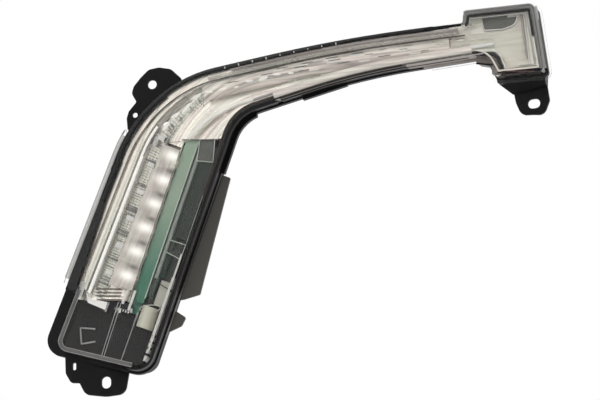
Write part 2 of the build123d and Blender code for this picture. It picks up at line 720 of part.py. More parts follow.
def bezel_area(leg_edge, arm_edge):
    """Part of the stock left of the leg's line and over the arm's line, at insets from the outline."""
    chain = shifted_path([FOOT_LEFT, ELBOW_OUTER, ARM_TOP, BOX_NOOK], [leg_edge, arm_edge, arm_edge])
    stock_side = [(STOCK_LEFT, chain[0][1]), (STOCK_LEFT, STOCK_TOP), (chain[-1][0], STOCK_TOP)]
    corners = [*reversed(chain), *stock_side]
    radii = [0.0, ARM_TOP_RADIUS - arm_edge, ELBOW_RADIUS - leg_edge, 0.0, 0.0, 0.0, 0.0]
    return blank(corners, radii) & leg_above(BEZEL_START) & left_of(BEZEL_END_X)


def guide_clearance():
    """Room round the light guide."""
    half = GUIDE_HALF_LEG + SEAT_GAP
    band = guide_band(half, GUIDE_HALF_ABOVE + SEAT_GAP, half, GUIDE_HALF_BELOW + SEAT_GAP)
    return layer(*band, 0.0, GUIDE_BACK + SEAT_GAP)


def inner_layer(front, back):
    """Everything the silver pieces may fill inside the lens walls, between two depths."""
    return layer(*lens_loop(BEZEL_INSET), front, back)


def reflector_bezel():
    """Silver frame: outer wall on the rim, land, step, edge wall and a backing under the guide."""
    skin = BEZEL_SKIN
    land = bezel_area(BEZEL_LAND, BEZEL_ARM_LAND)
    land_core = bezel_area(BEZEL_LAND - skin, BEZEL_ARM_LAND - skin)
    edge = bezel_area(BEZEL_EDGE, BEZEL_ARM_EDGE)
    edge_core = bezel_area(BEZEL_EDGE - skin, BEZEL_ARM_EDGE - skin)
    ledge = bezel_area(BEZEL_EDGE + BEZEL_LEDGE, BEZEL_ARM_EDGE + BEZEL_LEDGE)
    backing = bezel_area(BEZEL_EDGE + BEZEL_BACKING, BEZEL_ARM_EDGE + BEZEL_LEDGE)
    step_front = BEZEL_FRONT + BEZEL_STEP
    ledge_front = GUIDE_BACK + SEAT_GAP
    bezel = (inner_layer(BEZEL_FRONT, RIM_FRONT) - blank(*lens_loop(BEZEL_INSET + skin))) & land
    bezel += inner_layer(BEZEL_FRONT, BEZEL_FRONT + skin) & land
    bezel += (inner_layer(BEZEL_FRONT, step_front + skin) & land) - land_core
    bezel += (inner_layer(step_front, step_front + skin) & edge) - land_core
    bezel += (inner_layer(step_front, ledge_front + skin) & edge) - edge_core
    bezel += (inner_layer(ledge_front, ledge_front + skin) & ledge) - edge_core
    bezel += (inner_layer(ledge_front, ledge_front + skin) & backing) - edge_core - above(CELLS_TOP_Z)
    return bezel - guide_clearance()


def light_guide():
    """Clear optic: a band with a raised stripe along its left, grooved cell by cell, and a wedge foot."""
    half = GUIDE_HALF_LEG
    guide = layer(*guide_band(half, GUIDE_HALF_ABOVE, half, GUIDE_HALF_BELOW), GUIDE_FRONT, GUIDE_BACK)
    stripe = guide_band(half, GUIDE_HALF_ABOVE, STRIPE_WIDTH - half, 1.0 - GUIDE_HALF_ABOVE)
    guide += layer(*stripe, STRIPE_FRONT, GUIDE_FRONT)
    guide += layer([leg_point(*corner) for corner in GUIDE_FOOT], None, GUIDE_FRONT, GUIDE_BACK)
    left = GUIDE_ACROSS - half + STRIPE_WIDTH
    right = GUIDE_ACROSS + half + 1.0
    cuts = []
    for cell in range(CELL_COUNT):
        for groove_index in range(GROOVES_PER_CELL):
            up = FIRST_CELL + cell * CELL_PITCH + (groove_index - (GROOVES_PER_CELL - 1) / 2) * GROOVE_PITCH
            ends = leg_point(left, up), leg_point(right, up)
            cuts.append(bar(*ends, GROOVE_HALF, GUIDE_FRONT - 0.5, GUIDE_FRONT + GROOVE_DEPTH))
    return guide - cuts


def leg_reflector():
    """Silver block with a row of scalloped cells, between the ribs and the board."""
    left = GUIDE_ACROSS + GUIDE_HALF_LEG + SEAT_GAP
    right = BOARD_EDGE + SEAT_GAP
    foot = wall_point(right, 0.0)
    foot = line_crossing(foot, WALL_ANGLE, leg_point(0.0, CELLS_FOOT), LEG_ANGLE - 90.0)
    top = line_crossing(foot, WALL_ANGLE, (0.0, CELLS_TOP_Z), 0.0)
    left_top = line_crossing(leg_point(left, 0.0), LEG_ANGLE, (0.0, CELLS_TOP_Z), 0.0)
    block = layer([leg_point(left, CELLS_FOOT), left_top, top, foot], None, CELLS_FRONT, CELLS_BACK)
    block -= guide_clearance()
    for cell in range(CELL_COUNT):
        up = FIRST_CELL + cell * CELL_PITCH
        start, end = leg_point(left - 5.0, up), leg_point(left + 25.0, up)
        begin = Vector(start[0], face_y(start[0], SCALLOP_DEPTH), start[1])
        finish = Vector(end[0], face_y(end[0], SCALLOP_DEPTH), end[1])
        axis = finish - begin
        block -= Solid.make_cylinder(SCALLOP_RADIUS, axis.length, Plane(origin=begin, z_dir=axis))
    return block


def arm_reflector():
    """Silver trough of the elbow and arm: a wall on the rim, terraces and a floor under the guide."""
    back = TROUGH_FLOOR + BEZEL_SKIN
    area = upright_box(TROUGH_LEFT_X, TROUGH_END_X, TROUGH_LOW_Z, STOCK_TOP)
    path = guide_path()
    stock_side = [(STOCK_RIGHT, path[-1][1]), (STOCK_RIGHT, STOCK_BOTTOM), (path[0][0], STOCK_BOTTOM)]
    below = blank([*path, *stock_side], [0.0, GUIDE_ELBOW_RADIUS, GUIDE_BEND_RADIUS, 0.0, 0.0, 0.0, 0.0])
    trough = inner_layer(TROUGH_MIDDLE, back)
    for inset, depth in TROUGH_TERRACES:
        trough += inner_layer(depth, back) - blank(*lens_loop(inset))
    trough += inner_layer(BEZEL_FRONT, RIM_FRONT) - blank(*lens_loop(BEZEL_INSET + BEZEL_SKIN))
    trough = trough & below & area
    floor_band = guide_band(GUIDE_HALF_LEG, GUIDE_HALF_ABOVE, GUIDE_HALF_LEG, GUIDE_HALF_ABOVE)
    trough += layer(*floor_band, TROUGH_FLOOR, back) & area
    trough -= guide_clearance()
    return trough - [pin(point, ARM_LED_HOLE, 0.0, back + 1.0) for point in arm_stations()]


def end_box_reflector():
    """Silver lining of the end box: wall on the rim, front panel with a curved top left corner, steps."""
    back = PANEL_FRONT + BEZEL_SKIN
    wall = inner_layer(BEZEL_FRONT, RIM_FRONT) - blank(*lens_loop(BEZEL_INSET + BEZEL_SKIN))
    lining = wall & right_of(BOX_REFLECTOR_X)
    lining += inner_layer(PANEL_FRONT, back) & blank(PANEL_SHAPE, PANEL_RADII)
    for inset, depth in PANEL_STEPS:
        lining += (inner_layer(depth, back) - blank(*lens_loop(inset))) & blank(PANEL_STEP_SIDE)
    return lining - guide_clearance()


def leg_circuit_board():
    """Board that carries the leg's light sources, notched for the cream block, with a foot for its plug."""
    corners = [wall_point(*corner) for corner in BOARD_SHAPE]
    return layer(corners, None, BOARD_FRONT, SINK_FRONT)


def leg_leds():
    """Light sources on the board's left edge, one for each cell."""
    leds = []
    inward = BOARD_EDGE - LED_SIZE / 2 - FIT_GAP
    ux, uz = along(WALL_ANGLE)
    for cell in range(CELL_COUNT):
        station = leg_point(0.0, FIRST_CELL + cell * CELL_PITCH)
        x, z = line_crossing(wall_point(inward, 0.0), WALL_ANGLE, station, LEG_ANGLE - 90.0)
        half = LED_SIZE / 2
        ends = (x - half * ux, z - half * uz), (x + half * ux, z + half * uz)
        leds.append(bar(*ends, half, BOARD_FRONT - LED_TALL, BOARD_FRONT))
    return Compound(children=leds)


def heat_sink():
    """Plate under the board, with fins and two screw pads behind."""
    sink = wall_patch(SINK_INSET, SINK_EDGE, *SINK_SPAN, SINK_FRONT, SINK_BACK)
    for inset in FIN_INSETS:
        half = FIN_THICK / 2
        sink += wall_patch(inset - half, inset + half, *FIN_SPAN, SINK_BACK, SINK_BACK + FIN_DEEP)
    bore = SINK_SCREW_RADIUS + PIN_GAP
    for spot in SINK_POSTS:
        sink += post(wall_point(*spot), PAD_RADIUS, SINK_BACK, PAD_BACK)
        sink -= pin(wall_point(*spot), bore, PAD_BACK - SINK_SCREW_DEEP, PAD_BACK + 1.0)
    return sink - above(CELLS_TOP_Z)


def heat_sink_screws():
    """Screws from the back of the housing into the heat sink's pads."""
    tip = PAD_BACK - SINK_SCREW_DEEP + FIT_GAP
    screws = []
    for spot in SINK_POSTS:
        point = wall_point(*spot)
        head_front = HOUSING_BACK + face_y(point[0] - PAD_RADIUS) - face_y(point[0])
        shank = pin(point, SINK_SCREW_RADIUS, tip, head_front + SCREW_HEAD_TALL / 2)
        screws.append(shank + pin(point, PAD_RADIUS, head_front, head_front + SCREW_HEAD_TALL))
    return Compound(children=screws)


def board_carrier():
    """Clear rail over the board's right half, with two open box clips."""
    board_front = BOARD_FRONT
    inner, outer = RAIL_SPAN
    carrier = wall_patch(inner, outer, RAIL_LOW, RAIL_HIGH, RAIL_FRONT, RAIL_FRONT + RAIL_SKIN)
    for edge in (inner, outer - RAIL_SKIN):
        carrier += wall_patch(edge, edge + RAIL_SKIN, RAIL_LOW, RAIL_HIGH, RAIL_FRONT, board_front)
    for reach, low, high in (UPPER_CLIP, LOWER_CLIP):
        clip = wall_patch(CLIP_INSET, reach, low, high, CLIP_FRONT, board_front)
        clip -= wall_patch(CLIP_INSET + CLIP_WALL, reach - CLIP_WALL, low + CLIP_WALL, high - CLIP_WALL,
                           CLIP_FRONT + CLIP_WALL, board_front + 1.0)
        clip += wall_patch(CLIP_INSET, CLIP_INSET + CLIP_WALL, low, high, board_front, SINK_FRONT)
        carrier += clip
    link_low, link_high = RAIL_HIGH - 1.0, UPPER_CLIP[1] + CLIP_WALL
    return carrier + wall_patch(inner, outer, link_low, link_high, RAIL_FRONT, RAIL_FRONT + RAIL_SKIN)


def board_connector():
    """Small black plug on the foot of the leg's board."""
    front = BOARD_FRONT - PLUG_TALL
    return wall_patch(*PLUG_SPAN, PLUG_LOW, PLUG_HIGH, front, BOARD_FRONT)


def connector_pins():
    """Pale pins that stand out below the small plug."""
    front = BOARD_FRONT - PLUG_TALL / 2
    middle = (PLUG_SPAN[0] + PLUG_SPAN[1]) / 2
    tip, half = PLUG_LOW - PLUG_PIN_OUT, PLUG_PIN_HALF
    pins = []
    for i in range(PLUG_PINS):
        inset = middle + (i - (PLUG_PINS - 1) / 2) * PLUG_PIN_PITCH
        pins.append(wall_patch(inset - half, inset + half, tip, PLUG_LOW, front, front + 2 * half))
    return Compound(children=pins)


def lead_connector():
    """Cream block on the lower end of the heat sink, with a latch ridge."""
    front = SINK_FRONT - BLOCK_TALL
    block = wall_patch(*BLOCK_SPAN, BLOCK_LOW, BLOCK_HIGH, front, SINK_FRONT)
    inner, outer = BLOCK_SPAN
    high, low = wall_point(outer - LATCH_IN, LATCH_FROM), wall_point(inner + LATCH_IN, LATCH_TO)
    return block + bar(high, low, BLOCK_LATCH / 2, front - BLOCK_LATCH, front)


def lead_sleeve():
    """Cream cup that lies along the leg on the compartment's cover, open at its upper end."""
    depth = RIM_FRONT - COVER_THICK - SLEEVE_RADIUS - FIT_GAP
    low, high = (wall_point(SLEEVE_INSET, up) for up in SLEEVE_SPAN)
    base = Vector(low[0], face_y(low[0], depth), low[1])
    mouth = Vector(high[0], face_y(high[0], depth), high[1])
    axis = mouth - base
    cup = Solid.make_cylinder(SLEEVE_RADIUS, axis.length, Plane(origin=base, z_dir=axis))
    floor = Plane(origin=base + axis.normalized() * SLEEVE_BASE, z_dir=axis)
    return cup - Solid.make_cylinder(SLEEVE_RADIUS - SLEEVE_WALL, axis.length, floor)


def side_diffuser():
    """Cream strip inside the right wall of the leg, standing on the cover and on the rim."""
    inner, outer = DIFFUSER_INSET, DIFFUSER_INSET + DIFFUSER_THICK
    low, high = DIFFUSER_SPAN
    cover_front = RIM_FRONT - COVER_THICK - FIT_GAP
    strip = wall_patch(inner, outer, low, high, DIFFUSER_FRONT, cover_front)
    return strip + wall_patch(inner, outer, COVER_END, high, DIFFUSER_FRONT, RIM_FRONT)


def compartment_cover():
    """Black floor of the bottom compartment, on the rim's land, with a raised bracket mark."""
    front = RIM_FRONT - COVER_THICK
    cover = layer(*lens_loop(BEZEL_INSET), front, RIM_FRONT) - leg_above(COVER_END)
    low_corner, start, end, far = (leg_point(*MARK[i]) for i in (3, 0, 1, 2))
    for ends in [(low_corner, start), (start, end), (low_corner, far)]:
        cover += bar(*ends, MARK_HALF, front - MARK_TALL, front)
    return cover


def driver_board():
    """Board in the bottom compartment, behind its cover."""
    board = layer([leg_point(*corner) for corner in DRIVER_SHAPE], None, DRIVER_DEPTH, DRIVER_BACK)
    bore = DRIVER_SCREW_RADIUS + FIT_GAP
    return board - [pin(leg_point(*spot), bore, RIM_FRONT, LEG_FLOOR) for spot in DRIVER_HOLES]


def driver_screws():
    """Screws that hold the driver board on its posts."""
    screws = []
    for spot in DRIVER_HOLES:
        point = leg_point(*spot)
        seat = DRIVER_DEPTH - abs(face_y(point[0] + DRIVER_SCREW_HEAD) - face_y(point[0]))
        head = pin(point, DRIVER_SCREW_HEAD, seat - SCREW_HEAD_TALL, seat)
        screws.append(head + pin(point, DRIVER_SCREW_RADIUS, seat - 1.0, seat + DRIVER_SCREW_LONG))
    return Compound(children=screws)


def driver_choke():
    """Wound drum on the driver board: two flanges and a narrower winding."""
    point = leg_point(*CHOKE_AT)
    front = DRIVER_DEPTH - CHOKE_TALL
    drum = post(point, CHOKE_RADIUS, front, front + CHOKE_FLANGE)
    drum += post(point, CHOKE_RADIUS - CHOKE_NECK, front, DRIVER_DEPTH)
    return drum + post(point, CHOKE_RADIUS, DRIVER_DEPTH - CHOKE_FLANGE, DRIVER_DEPTH)


def driver_capacitors():
    """Pair of cans on the driver board."""
    front = DRIVER_DEPTH - CAPACITOR_TALL
    cans = [post(leg_point(*spot), CAPACITOR_RADIUS, front, DRIVER_DEPTH) for spot in CAPACITORS_AT]
    return Compound(children=cans)


def driver_chips():
    """Pair of flat chips on the driver board."""
    chips = []
    for across, up in CHIP_AT:
        ends = leg_point(across - CHIP_HALF, up), leg_point(across + CHIP_HALF, up)
        chips.append(bar(*ends, CHIP_HALF, DRIVER_DEPTH - CHIP_TALL, DRIVER_DEPTH))
    return Compound(children=chips)


def arm_circuit_board():
    """Narrow board behind the arm's trough, with holes for its stakes."""
    half = ARM_BOARD_HALF
    board = layer(*guide_band(half, half, half, half), ARM_BOARD_DEPTH, ARM_BOARD_BACK)
    board &= upright_box(TROUGH_LEFT_X, ARM_BOARD_END_X, ARM_BOARD_LOW_Z, STOCK_TOP)
    return board - [pin(point, STAKE_RADIUS + FIT_GAP, 0.0, LEG_FLOOR) for point in stake_points()]


def arm_leds():
    """Light sources of the arm, one behind each hole of the trough."""
    leds = []
    half = ARM_LED_SIZE / 2
    for x, z in arm_stations():
        leds.append(bar((x - half, z), (x + half, z), half, ARM_BOARD_DEPTH - ARM_LED_TALL, ARM_BOARD_DEPTH))
    return Compound(children=leds)


def terminal_blanks(grow, front, back):
    """Flat blades side by side at the socket, between two depths."""
    blades = []
    across, up = SOCKET_AT
    wide, thick = TERMINAL_SIZE
    for i in range(TERMINAL_COUNT):
        middle = across + (i - (TERMINAL_COUNT - 1) / 2) * TERMINAL_PITCH
        ends = leg_point(middle - wide / 2 - grow, up), leg_point(middle + wide / 2 + grow, up)
        blades.append(bar(*ends, thick / 2 + grow, front, back))
    return blades


def power_socket():
    """Black socket snapped through the floor: plug part, flange and open shroud."""
    seat = HOUSING_BACK + SEAL_THICK
    end = SHROUD_START + SHROUD_LONG
    socket = layer(*socket_outline(SOCKET_PLUG), LEG_FLOOR - PLUG_LONG, SHROUD_START)
    socket += layer(*socket_outline(SOCKET_FLANGE), seat, SHROUD_START)
    socket += layer(*socket_outline(SOCKET_SHROUD), seat, end)
    socket -= layer(*socket_outline(SOCKET_SHROUD, -SOCKET_WALL), SHROUD_START, end + 1.0)
    across, up = SOCKET_AT
    for side in (-1, 1):
        tip = up + side * (SOCKET_PLUG[1] / 2 + FIT_GAP + SNAP_REACH)
        ends = leg_point(across, up + side * SOCKET_PLUG[1] / 4), leg_point(across, tip)
        socket += bar(*ends, SNAP_HALF, LEG_FLOOR - PLUG_LONG, LEG_FLOOR - FIT_GAP)
    return socket - terminal_blanks(PIN_GAP, LEG_FLOOR - PLUG_LONG - 1.0, SHROUD_START + 1.0)


def socket_seal():
    """Rubber ring between the socket's flange and the housing."""
    front = HOUSING_BACK
    ring = layer(*socket_outline(SOCKET_FLANGE, -PIN_GAP), front, front + SEAL_THICK)
    return ring - blank(*socket_outline(SOCKET_PLUG, FIT_GAP * 2))


def socket_terminals():
    """Blades from the driver board out into the socket's shroud."""
    return Compound(children=terminal_blanks(0.0, DRIVER_BACK, SHROUD_START + TERMINAL_OUT))


def breather_cap():
    """Rubber cap on the housing's nipple, slit on two sides."""
    point = leg_point(*NIPPLE_AT)
    start = HOUSING_BACK + CAP_START
    bore = NIPPLE_RADIUS + PIN_GAP
    cap = post(point, bore + CAP_WALL, start, NIPPLE_END + FIT_GAP + CAP_TOP)
    cap -= post(point, bore, LEG_FLOOR, NIPPLE_END + FIT_GAP)
    reach = bore + CAP_WALL + 1.0
    ends = (point[0] - reach, point[1]), (point[0] + reach, point[1])
    return cap - bar(*ends, CAP_SLIT / 2, start - 1.0, start + CAP_SLIT_LONG)


def write(shape, name):
    """Writes one node and prints its size."""
    export_step(shape, f"parts/{name}.step")
    print(f"{name}: {shape.volume:.0f} mm3 in {len(shape.solids())} solids")


os.makedirs("parts", exist_ok=True)
for piece in [
    rear_housing, outer_lens, sealant_bead, reflector_bezel, light_guide, leg_reflector, arm_reflector,
    end_box_reflector, leg_circuit_board, leg_leds, heat_sink, heat_sink_screws, board_carrier,
    board_connector, connector_pins, lead_connector, lead_sleeve, side_diffuser, compartment_cover,
    driver_board, driver_screws, driver_choke, driver_capacitors, driver_chips, arm_circuit_board,
    arm_leds, power_socket, socket_seal, socket_terminals, breather_cap,
]:
    write(piece(), piece.__name__)
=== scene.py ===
# %% [markdown]
# # A daytime running light in Blender
# The lamp is a clear lens over silver reflectors, a light guide and a green board, in a black moulded tray.
# Its solid pieces come from the CAD frame at their real size, in metres, and stay as they are.
# What is added here is the finish of every piece, and the fine detail behind the lens.

# %% Load the CAD frame
import math

import bmesh
import bpy
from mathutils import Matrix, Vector


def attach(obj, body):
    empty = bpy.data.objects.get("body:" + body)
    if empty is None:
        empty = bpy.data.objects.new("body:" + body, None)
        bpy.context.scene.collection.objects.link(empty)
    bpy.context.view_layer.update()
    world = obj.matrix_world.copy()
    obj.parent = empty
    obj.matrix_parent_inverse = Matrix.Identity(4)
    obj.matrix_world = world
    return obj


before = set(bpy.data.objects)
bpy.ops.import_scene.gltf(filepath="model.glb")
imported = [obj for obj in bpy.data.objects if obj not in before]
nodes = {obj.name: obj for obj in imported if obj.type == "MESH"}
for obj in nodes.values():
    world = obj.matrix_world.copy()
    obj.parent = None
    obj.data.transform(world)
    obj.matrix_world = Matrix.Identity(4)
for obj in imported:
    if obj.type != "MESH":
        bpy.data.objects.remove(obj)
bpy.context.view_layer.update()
print("pieces from the CAD frame:", len(nodes))

# %% [markdown]
# ## The camera
# The photograph looks at the lamp from a little to the right and from below, with almost no perspective.
# A very long lens gives that. The camera comes first, so each later piece can be judged in its view.

# %% Place the camera
MM = 0.001
SIDE_ANGLE = math.radians(9)
RISE_ANGLE = math.radians(-8)
LENS_LENGTH = 1000
SENSOR_WIDTH = 36
VIEW_WIDTH = 428.4 * MM
VIEW_CENTRE = Vector((110.5, -20, -88.8)) * MM


def add_object(name, data):
    """Adds an object with its data to the scene."""
    piece = bpy.data.objects.new(name, data)
    bpy.context.scene.collection.objects.link(piece)
    return piece


direction = Vector((math.sin(SIDE_ANGLE) * math.cos(RISE_ANGLE),
                    -math.cos(SIDE_ANGLE) * math.cos(RISE_ANGLE), math.sin(RISE_ANGLE)))
camera_data = bpy.data.cameras.new("photo_camera")
camera_data.lens = LENS_LENGTH
camera_data.sensor_width = SENSOR_WIDTH
camera = add_object("photo_camera", camera_data)
camera.location = VIEW_CENTRE + direction * VIEW_WIDTH * LENS_LENGTH / SENSOR_WIDTH
camera.rotation_euler = direction.to_track_quat("Z", "Y").to_euler()
bpy.context.scene.camera = camera
bpy.context.scene.view_settings.view_transform = "Standard"
print("camera at", [round(v, 2) for v in camera.location])

# %% [markdown]
# ## Helpers for nodes
# Every finish and every repeated detail is a small tree of nodes. One function adds a node and feeds its
# inputs, each with a value or a linked socket.

# %% Node helpers


def feed(tree, node, inputs):
    """Links a socket or sets a value on each input, by its label or number."""
    for key, value in inputs.items():
        if isinstance(value, bpy.types.NodeSocket):
            tree.links.new(value, node.inputs[key])
        else:
            node.inputs[key].default_value = value


def add_node(tree, kind, inputs=None, **settings):
    """Adds a node, sets it up and feeds its inputs."""
    node = tree.nodes.new(kind)
    for key, value in settings.items():
        setattr(node, key, value)
    feed(tree, node, inputs or {})
    return node


def math_node(tree, operation, first, second=0):
    """Result of a maths node whose inputs are sockets or numbers."""
    return add_node(tree, "ShaderNodeMath", {0: first, 1: second}, operation=operation).outputs[0]


def vector_node(tree, operation, first, inputs=None):
    """Vector maths node whose inputs are sockets or fixed vectors."""
    return add_node(tree, "ShaderNodeVectorMath", {0: first, **(inputs or {})}, operation=operation)


def object_place(tree):
    """Socket with the place on the piece, in metres."""
    return add_node(tree, "ShaderNodeTexCoord").outputs["Object"]


def noise_at(tree, vector, scale, detail=3):
    """Noise of a scale on a vector socket, about 0 to 1."""
    inputs = {"Vector": vector, "Scale": scale, "Detail": detail}
    return add_node(tree, "ShaderNodeTexNoise", inputs).outputs["Fac"]


def add_group(name, kind, inputs, outputs):
    """Node group with sockets, each a label and a kind, and its two end nodes."""
    group = bpy.data.node_groups.new(name, kind)
    for way, sockets in (("INPUT", inputs), ("OUTPUT", outputs)):
        for label, socket_kind in sockets.items():
            group.interface.new_socket(name=label, in_out=way, socket_type="NodeSocket" + socket_kind)
    return group, group.nodes.new("NodeGroupInput").outputs, group.nodes.new("NodeGroupOutput")


print("node helpers ready")

# %% [markdown]
# ## Studio light and floor
# The photograph is lit by large soft boxes on plain white. Two wide area lamps give that soft light, and the
# world fills the shadows. The camera, the metal and the clear plastic see the world white. The floor lies
# far below, because the lamp hangs on its tabs and the camera looks up at it.

# %% Light the scene
FLOOR_DROP = 2.2
FLOOR_REACH = 14
WORLD_FILL = 0.55
world = bpy.data.worlds.new("studio")
world.use_nodes = True
tree = world.node_tree
tree.nodes.clear()
rays = add_node(tree, "ShaderNodeLightPath").outputs
seen = math_node(tree, "MAXIMUM", rays["Is Camera Ray"], rays["Is Glossy Ray"])
white = math_node(tree, "MAXIMUM", seen, rays["Is Transmission Ray"])
strength = add_node(tree, "ShaderNodeMapRange", {"To Min": WORLD_FILL, "To Max": 1, "Value": white})
light = {"Color": (1, 1, 1, 1), "Strength": strength.outputs["Result"]}
background = add_node(tree, "ShaderNodeBackground", light)
add_node(tree, "ShaderNodeOutputWorld", {"Surface": background.outputs[0]})
bpy.context.scene.world = world


def add_soft_box(name, spot, size, power):
    """Wide area lamp that faces the middle of the lamp."""
    data = bpy.data.lights.new(name, "AREA")
    data.shape = "RECTANGLE"
    data.size, data.size_y = size
    data.energy = power
    light = add_object(name, data)
    light.location = spot
    light.rotation_euler = (Vector(spot) - VIEW_CENTRE).to_track_quat("Z", "Y").to_euler()


add_soft_box("key_box", (-1.2, -2, 1.5), (1.8, 1.8), 20)
add_soft_box("side_box", (1.9, -1.4, 0.2), (1.2, 2), 8)
half = FLOOR_REACH / 2
floor_mesh = bpy.data.meshes.new("floor")
corners = [(-half, -half), (half, -half), (half, half), (-half, half)]
floor_mesh.from_pydata([(x, y - half / 2, -FLOOR_DROP) for x, y in corners], [], [(0, 1, 2, 3)])
floor = add_object("floor", floor_mesh)
print("floor at", -FLOOR_DROP)

# %% [markdown]
# ## The lamp's own measures
# The leg leans, so places on it are said across the leg and up along it. Depth runs straight back from the
# curved face of the lens. The CAD uses the same measures.

# %% Places on the lamp
FACE_RADIUS = 1400
FACE_APEX_X = 200
FACE_APEX_Y = -38
FOOT_LEFT = (-77.5, -189.2)
ELBOW_OUTER = (-2.1, -3.4)
FOOT_RIGHT = (-0.6, -210.3)
ELBOW_INNER = (64.9, -26.6)


def line_direction(start, end):
    """Unit vector from start to end in the front view."""
    length = math.dist(start, end)
    return tuple((b - a) / length for a, b in zip(start, end))


def beside(start, end, right, ahead=0):
    """Front-view point to the right of a side and ahead along it from its start."""
    ux, uz = line_direction(start, end)
    return (start[0] + right * uz + ahead * ux, start[1] - right * ux + ahead * uz)


def leg_point(across, up):
    """Front-view point in mm: across from the leg's left wall, up along it from its foot."""
    return beside(FOOT_LEFT, ELBOW_OUTER, across, up)


def wall_point(inward, up):
    """Front-view point in mm: inward from the leg's right wall, up along it."""
    return beside(FOOT_RIGHT, ELBOW_INNER, -inward, up)


def place(point, depth):
    """Point in metres at a front-view point and a depth behind the face of the lens."""
    x, z = point
    y = FACE_APEX_Y + depth + FACE_RADIUS - math.sqrt(FACE_RADIUS ** 2 - (x - FACE_APEX_X) ** 2)
    return Vector((x, y, z)) * MM


print("foot of the leg at", [round(v, 4) for v in place(FOOT_LEFT, 0)])

# %% [markdown]
# ## Surface effects shared by several finishes
# A moulded or sprayed surface is never even: its tone and its gloss drift over a few centimetres, and a fine
# grain breaks up its highlights. One node group makes both, and each finish sets how strong they are.

# %% Build the shared group
GLOSS_DRIFT = 0.1
GRAIN_HEIGHT = 0.0002
group, given, outside = add_group("surface_drift", "ShaderNodeTree", {
    "Color": "Color", "Tone Range": "Float", "Patch Scale": "Float", "Grain Scale": "Float",
    "Roughness": "Float", "Roughness Range": "Float",
}, {"Color": "Color", "Roughness": "Float", "Height": "Float"})
position = object_place(group)
centred = math_node(group, "SUBTRACT", noise_at(group, position, given["Patch Scale"]), 0.5)
swing = math_node(group, "MULTIPLY", centred, given["Tone Range"])
level = math_node(group, "ADD", swing, 1)
scaled = vector_node(group, "SCALE", given["Color"], {"Scale": level})
gloss = math_node(group, "MULTIPLY", centred, given["Roughness Range"])
feed(group, outside, {
    "Color": scaled.outputs[0], "Roughness": math_node(group, "ADD", gloss, given["Roughness"]),
    "Height": noise_at(group, position, given["Grain Scale"], 2)})
drift_group = group
print("shared group sockets:", len(drift_group.interface.items_tree))

# %% [markdown]
# ## Opaque finishes
# Plastic, silver coating, board lacquer and plated metal all use the shared group, with their own colour,
# gloss and grain. The silver is a thin metal coat on smooth plastic, so it is fully metallic. Every finish
# is kept under its name.

# %% Make the opaque finishes
finish = {}


def coat(name, color, roughness, metallic=0, tone=0.2, patch=40, grain=2500, bump=0.05, mirror=0.5, glow=0):
    """Makes an opaque finish: drifting colour and gloss, and a fine grain."""
    material = bpy.data.materials.new(name)
    material.use_nodes = True
    tree = material.node_tree
    drift = add_node(tree, "ShaderNodeGroup", {
        "Color": (*color, 1), "Tone Range": tone, "Patch Scale": patch, "Grain Scale": grain,
        "Roughness": roughness, "Roughness Range": GLOSS_DRIFT}, node_tree=drift_group).outputs
    grain_bump = {"Strength": bump, "Distance": GRAIN_HEIGHT, "Height": drift["Height"]}
    feed(tree, tree.nodes["Principled BSDF"], {
        "Base Color": drift["Color"], "Roughness": drift["Roughness"], "Metallic": metallic,
        "Normal": add_node(tree, "ShaderNodeBump", grain_bump).outputs["Normal"],
        "Specular IOR Level": mirror, "Emission Color": (*color, 1), "Emission Strength": glow})
    finish[name] = material


coat("black_plastic", (0.007, 0.007, 0.0075), 0.45, tone=0.6, grain=700, bump=0.03, mirror=0.12)
coat("black_gloss", (0.006, 0.0055, 0.0055), 0.34, tone=0.5, bump=0.01, mirror=0.14)
coat("floor_black", (0.012, 0.0105, 0.0105), 0.5, tone=0.5, patch=30, grain=300, bump=0, mirror=0.1)
coat("glue_black", (0.006, 0.006, 0.006), 0.5, tone=0.5, bump=0.3, mirror=0.1)
coat("border_black", (0.007, 0.007, 0.007), 0.3, tone=0.6, mirror=0.2)
coat("border_brown", (0.045, 0.034, 0.028), 0.4, tone=0.5, mirror=0.2)
coat("rim_line", (0.075, 0.068, 0.06), 0.4, tone=0.4, mirror=0.3)
coat("rim_pale", (0.5, 0.49, 0.46), 0.35)
coat("skin_grey", (0.1, 0.088, 0.078), 0.45, tone=0.4, mirror=0.2)
coat("web_pale", (0.56, 0.51, 0.475), 0.45, tone=0.4, patch=70)
coat("web_brown", (0.24, 0.205, 0.185), 0.4, tone=0.5, patch=90)
coat("silver_coat", (0.7, 0.675, 0.635), 0.27, metallic=1, bump=0.02)
coat("panel_silver", (0.66, 0.645, 0.6), 0.3, metallic=1, tone=0.35, patch=55, bump=0.01)
coat("board_green", (0.2, 0.27, 0.21), 0.4, tone=0.4, patch=90, mirror=0.4)
coat("board_face", (0.265, 0.345, 0.265), 0.5, tone=0.25, patch=60, mirror=0.2)
coat("shade_green", (0.03, 0.045, 0.035), 0.4, tone=0.4, mirror=0.3)
coat("shade_grey", (0.1, 0.102, 0.088), 0.4, tone=0.5, patch=70, mirror=0.3)
coat("panel_black", (0.018, 0.026, 0.018), 0.45, tone=0.7, patch=35, mirror=0.25)
coat("lamp_package", (0.46, 0.5, 0.4), 0.35, tone=0.1)
coat("lamp_pale", (0.66, 0.64, 0.6), 0.35, tone=0.1)
coat("dark_metal", (0.022, 0.028, 0.022), 0.45, tone=0.6, mirror=0.3)
coat("screw_steel", (0.45, 0.45, 0.44), 0.3, metallic=1, tone=0.3)
coat("sleeve_cream", (0.52, 0.51, 0.41), 0.45, bump=0.1)
coat("cream_plastic", (0.36, 0.355, 0.3), 0.45, bump=0.1)
coat("pale_plastic", (0.62, 0.61, 0.57), 0.4, tone=0.15, bump=0.1)
coat("tin_plate", (0.7, 0.69, 0.66), 0.25, metallic=1)
coat("contact_brass", (0.62, 0.46, 0.22), 0.25, metallic=1)
